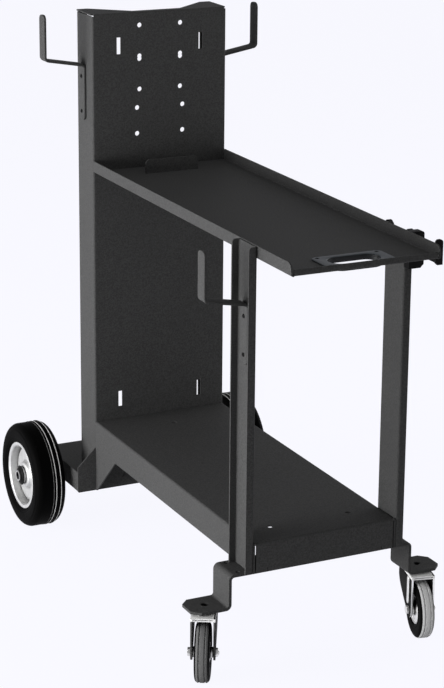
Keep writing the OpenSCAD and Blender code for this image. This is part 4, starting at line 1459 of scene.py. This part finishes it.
@dataclass
class Grip:
    """The moulded grip insert: a soft-edged bezel and a sleeve through the tray. Sizes in millimetres."""

    half_length: float = 64.0
    half_depth: float = 31.5
    corner: float = 11.0
    opening: tuple[float, float] = (46.0, 20.0)
    wall: float = 2.2
    thickness: float = 2.6
    sleeve: float = 9.8
    sleeve_rise: float = 2.4
    screw_at: tuple[float, float] = (54.0, 23.5)
    well: float = 3.65
    well_depth: float = 1.5

    @classmethod
    def screw_spots(cls) -> list[tuple[float, float]]:
        """The four screws' places from the bezel's middle."""
        x, y = cls.screw_at
        return [(sx * x, sy * y) for sx in (-1, 1) for sy in (-1, 1)]

    def loop(self, a: float, b: float, r: float, z: float) -> Points:
        """A rectangle of half sizes a and b at height z, whose corners are centre + r (cos, sin).

        Args:
            a, b: half sizes.
            r: radius of the corners.
            z: height.

        Returns:
            (52, 3) points.
        """
        angle, sx, sy = quarters(13)
        x, y = sx * (a - r) + r * np.cos(angle), sy * (b - r) + r * np.sin(angle)
        return np.stack([x, y, z + 0 * angle], -1)

    def build(self, plastic: Material) -> None:
        """Loops run over the bezel, down the opening and back up outside the sleeve, whose foot slants.

        Args:
            plastic: the finish.
        """
        a, b, r, t = self.half_length, self.half_depth, self.corner, self.thickness
        x, y = self.opening
        w, low = self.wall, -self.sleeve
        bezel = ((0, 0.0), (0, 1.3), (0.25, 2.0), (0.8, 2.45), (1.7, t))
        mouth = (
            (1.6, t), (0.8, t - 0.2), (0.3, t - 0.6), (0.05, t - 1.2), (0, t - 2.0), (0, low + 0.6),
            (0.5, low), (w - 0.5, low), (w, low + 0.6), (w, 0.0),
        )
        rows = [(a - d, b - d, r - d, z) for d, z in bezel] + [(x + d, y + d, y + d, z) for d, z in mouth]
        grid = np.stack([self.loop(*row) for row in rows])
        reach = y + w + 1.0
        slant = self.sleeve_rise * (grid[..., 1] + reach) / (2 * reach)
        grid[..., 2] += np.where(grid[..., 2] < -2 * w, slant, 0)
        low_corner, high_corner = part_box("handle_insert")
        middle = (low_corner + high_corner) / 2
        place = Matrix.Translation((middle.x, middle.y, high_corner.z - t * MM))
        well = pin(self.well, t - self.well_depth, t + 1).moved(UPRIGHT)
        wells = [well.moved(shift(*spot, 0)).moved(place) for spot in self.screw_spots()]
        grip = Piece("grip_insert", [Shell.grid(grid).moved(place)], sharp=40).cut(*wells)
        grip.dress(plastic).stand_for("frame", "handle_plastic", "handle_insert")


def refined(node: str, width: float, segments: int = 3, angle: float = 35.0) -> Piece:
    """A copy of a frame node with rounded edges.

    Args:
        node: the frame's node.
        width: width of the rounding, in metres.
        segments: faces across it.
        angle: edges sharper than this are rounded.

    Returns:
        The piece, not yet dressed.
    """
    mesh = frame["nodes"][node].data
    points = np.empty(len(mesh.vertices) * 3)
    mesh.vertices.foreach_get("co", points)
    piece = Piece(f"{node}_soft", [Shell(points.reshape(-1, 3), [tuple(p.vertices) for p in mesh.polygons])])
    with edited(piece.object.data) as work:
        bmesh.ops.dissolve_limit(work, angle_limit=math.radians(1.0), verts=work.verts, edges=work.edges)
    return piece.rounded(width, segments, angle)


# Studio


@dataclass
class Studio:
    """Pale floor, soft lamps and the camera of the photograph.

    Attributes:
        paper, paper_glow: colour of floor and backdrop, and the strength with which the floor is seen.
        fill: strength of the even light from all round.
        target: the point that the camera's axis passes through.
        lamps: name, place, point lit, size and watts of each lamp.
    """

    paper: Colour = (0.939, 0.939, 1.0)
    paper_glow: float = 1.035
    ceiling: Colour = (0.3, 0.3, 0.31)
    ground: Colour = (0.7, 0.7, 0.72)
    fill: float = 0.272
    floor_half: float = 40.0
    target: tuple[float, float, float] = (0.13414, 0.02365, 0.48883)
    distance: float = 4.07094
    azimuth: float = -27.56
    elevation: float = 16.34
    roll: float = 0.93
    focal_px: float = 2217.98
    centre_px: tuple[float, float] = (280.32, 309.37)
    image_px: tuple[int, int] = (444, 688)
    sensor: float = 36.0
    lamps: tuple[tuple, ...] = (
        ("key", (-3.4, 0.0, 0.6), (0, 0.1, 0.5), (2.6, 1.1), 204.0),
        ("overhead", (-0.2, -0.4, 3.6), (0, 0, 0.4), (2.6, 2.6), 15.0),
        ("far_side", (3.4, 0.5, 0.9), (0, 0.1, 0.5), (2.2, 1.6), 60.0),
    )

    def _seen(self, s: Shader) -> Value:
        """1 for camera, glossy and transmission rays."""
        ray = lambda name: s.node("ShaderNodeLightPath", out=name)
        return ray("Is Camera Ray") | ray("Is Glossy Ray") | ray("Is Transmission Ray")

    def _link(self, name: str, data: bpy.types.ID) -> bpy.types.Object:
        """A new object in the scene.

        Args:
            name: its name.
            data: what it shows.

        Returns:
            The object.
        """
        made = bpy.data.objects.new(name, data)
        bpy.context.scene.collection.objects.link(made)
        return made

    def floor(self) -> None:
        """A wide floor that reads as pale paper and keeps a faint shadow."""
        s = Shader("paper_floor")
        flat = s.node("ShaderNodeBsdfDiffuse", sockets={"Color": rgba(self.ground)})
        glow = s.node("ShaderNodeEmission", sockets={"Color": rgba(self.paper), "Strength": self.paper_glow})
        mix = s.node("ShaderNodeMixShader", sockets={0: self._seen(s) * 0.95, 1: flat, 2: glow})
        s.node("ShaderNodeOutputMaterial", sockets={"Surface": mix})
        h = self.floor_half
        mesh = bpy.data.meshes.new("floor")
        mesh.from_pydata([(-h, -h, 0), (h, -h, 0), (h, h, 0), (-h, h, 0)], [], [(0, 1, 2, 3)])
        mesh.materials.append(s.data)
        self._link("floor", mesh)

    def world(self) -> None:
        """Even light from all round; what is seen is pale paper that turns to a grey ceiling."""
        s = Shader("studio_air", world=True)
        heading = s.node("ShaderNodeTexCoord", out="Generated")
        up = s.node("ShaderNodeSeparateXYZ", sockets={0: heading}, out="Z")
        shade = s.blend(up.step(0.08, 0.6), self.paper, self.ceiling)
        fill = s.node("ShaderNodeBackground", sockets={"Color": (1, 1, 1, 1), "Strength": self.fill})
        seen = s.node("ShaderNodeBackground", sockets={"Color": shade, "Strength": 1.0})
        mix = s.node("ShaderNodeMixShader", sockets={0: self._seen(s), 1: fill, 2: seen})
        s.node("ShaderNodeOutputWorld", sockets={"Surface": mix})
        bpy.context.scene.world = s.data

    def light(self) -> None:
        """The key lamp stands low on the left, a wide one hangs overhead, a weak one lights the far side."""
        for name, at, to, size, watts in self.lamps:
            data = bpy.data.lights.new(name, "AREA")
            data.shape, data.size, data.size_y, data.energy = "RECTANGLE", *size, watts
            lamp = self._link(name, data)
            lamp.location = at
            lamp.rotation_mode = "QUATERNION"
            lamp.rotation_quaternion = (Vector(to) - Vector(at)).to_track_quat("-Z", "Y")

    def camera(self) -> None:
        """The photograph's view: a long lens whose frame is shifted and slightly rolled."""
        az, el, roll = (math.radians(a) for a in (self.azimuth, self.elevation, self.roll))
        back = Vector((math.sin(az) * math.cos(el), -math.cos(az) * math.cos(el), math.sin(el)))
        right = Vector((math.cos(az), math.sin(az), 0))
        up = back.cross(right)
        x = right * math.cos(roll) + up * math.sin(roll)
        y = up * math.cos(roll) - right * math.sin(roll)
        data = bpy.data.cameras.new("camera")
        width, height = self.image_px
        data.sensor_width = self.sensor
        data.lens = self.focal_px * self.sensor / height
        data.shift_x = (width / 2 - self.centre_px[0]) / height
        data.shift_y = (self.centre_px[1] - height / 2) / height
        data.clip_start, data.clip_end = 0.05, 200.0
        camera = self._link("camera", data)
        turn = Matrix((x, y, back)).transposed().to_4x4()
        camera.matrix_world = Matrix.Translation(Vector(self.target) + back * self.distance) @ turn
        bpy.context.scene.camera = camera

    def build(self) -> None:
        """Sets up the whole studio."""
        self.floor()
        self.world()
        self.light()
        self.camera()
        bpy.context.scene.view_settings.view_transform = "Standard"
        LOG.info("studio ready")


def main() -> None:
    """Builds the studio and every sub-assembly in order."""
    logging.basicConfig(level=logging.INFO, format="%(name)s: %(message)s")
    Studio().build()
    coat = Sheetwork().build()
    # Each zinc darkens its hollows with painted shade; the race's keeps most of its tone there
    zinc = Zinc().material()
    rim_zinc = Zinc("rim_zinc", (0.55, 0.55, 0.545), dull=0.48, depth=24 * MM).material()
    race_zinc = Zinc("race_zinc", dull=0.4, shade=0.85).material()
    dark_steel = Zinc("dark_steel", (0.03, 0.03, 0.03), 0.5).material()
    black = Plastic("black_plastic", (0.004, 0.004, 0.004), shine=0.05).material()
    dark = Plastic("black_screws", (0.004, 0.004, 0.004), shine=0.06).material()
    # Of each caster: share of the painted highlight on the fork's cut edges, finish of its ribs, tone of the
    # tread. The casters are the same, so the left one's dark-steel ribs, few bright edges and dark tread are
    # painted shade, and the right one's bright edges and pale tread are painted highlight
    caster_looks = {Side.LEFT: (0.1, dark_steel, (0.13,) * 3), Side.RIGHT: (1.0, zinc, (0.6,) * 3)}
    for side in Side:
        wheel = RearWheel(side, zinc, rim_zinc, black)
        wheel.build()
        edge_share, rib_skin, tread = caster_looks[side]
        _, axle = joint(side.of("caster_spin"))
        fork_steel = ForkSteel(side.of("fork_steel"), tuple(axle), edge_share).material()
        Caster(side, zinc, fork_steel, rib_skin, tread).build()
        dress_node(side.of("caster_kingpin"), dark_steel)
        dress_node(side.of("caster_race"), race_zinc)
        dress_node(side.of("stub_axle"), AxleSteel(side.of("axle_steel"), tuple(wheel.centre())).material())
    RetainingRings(dark_steel).build()
    dress_node("torch_holder_screws", zinc)
    hooks = [CableHook(node) for node in ("left_column_hook", "right_column_hook", "leg_hook")]
    for hook in hooks:
        hook.build(coat)
    screws = Screws(dark)
    screws.hook_screws(hooks)
    screws.bezel_screws()
    grip = Grip()
    tray_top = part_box("handle_insert")[1].z - grip.thickness * MM
    # Below just above the tray's top, the grip's sleeve is painted near black as shade
    grip.build(Plastic("grip_plastic", (0.042, 0.049, 0.056), dark_below=tray_top + 1.9 * MM).material())
    refined("torch_holder", 1.0 * MM).dress(black).stand_for("frame", "black_plastic", "torch_holder")


if __name__ == "__main__":
    main()
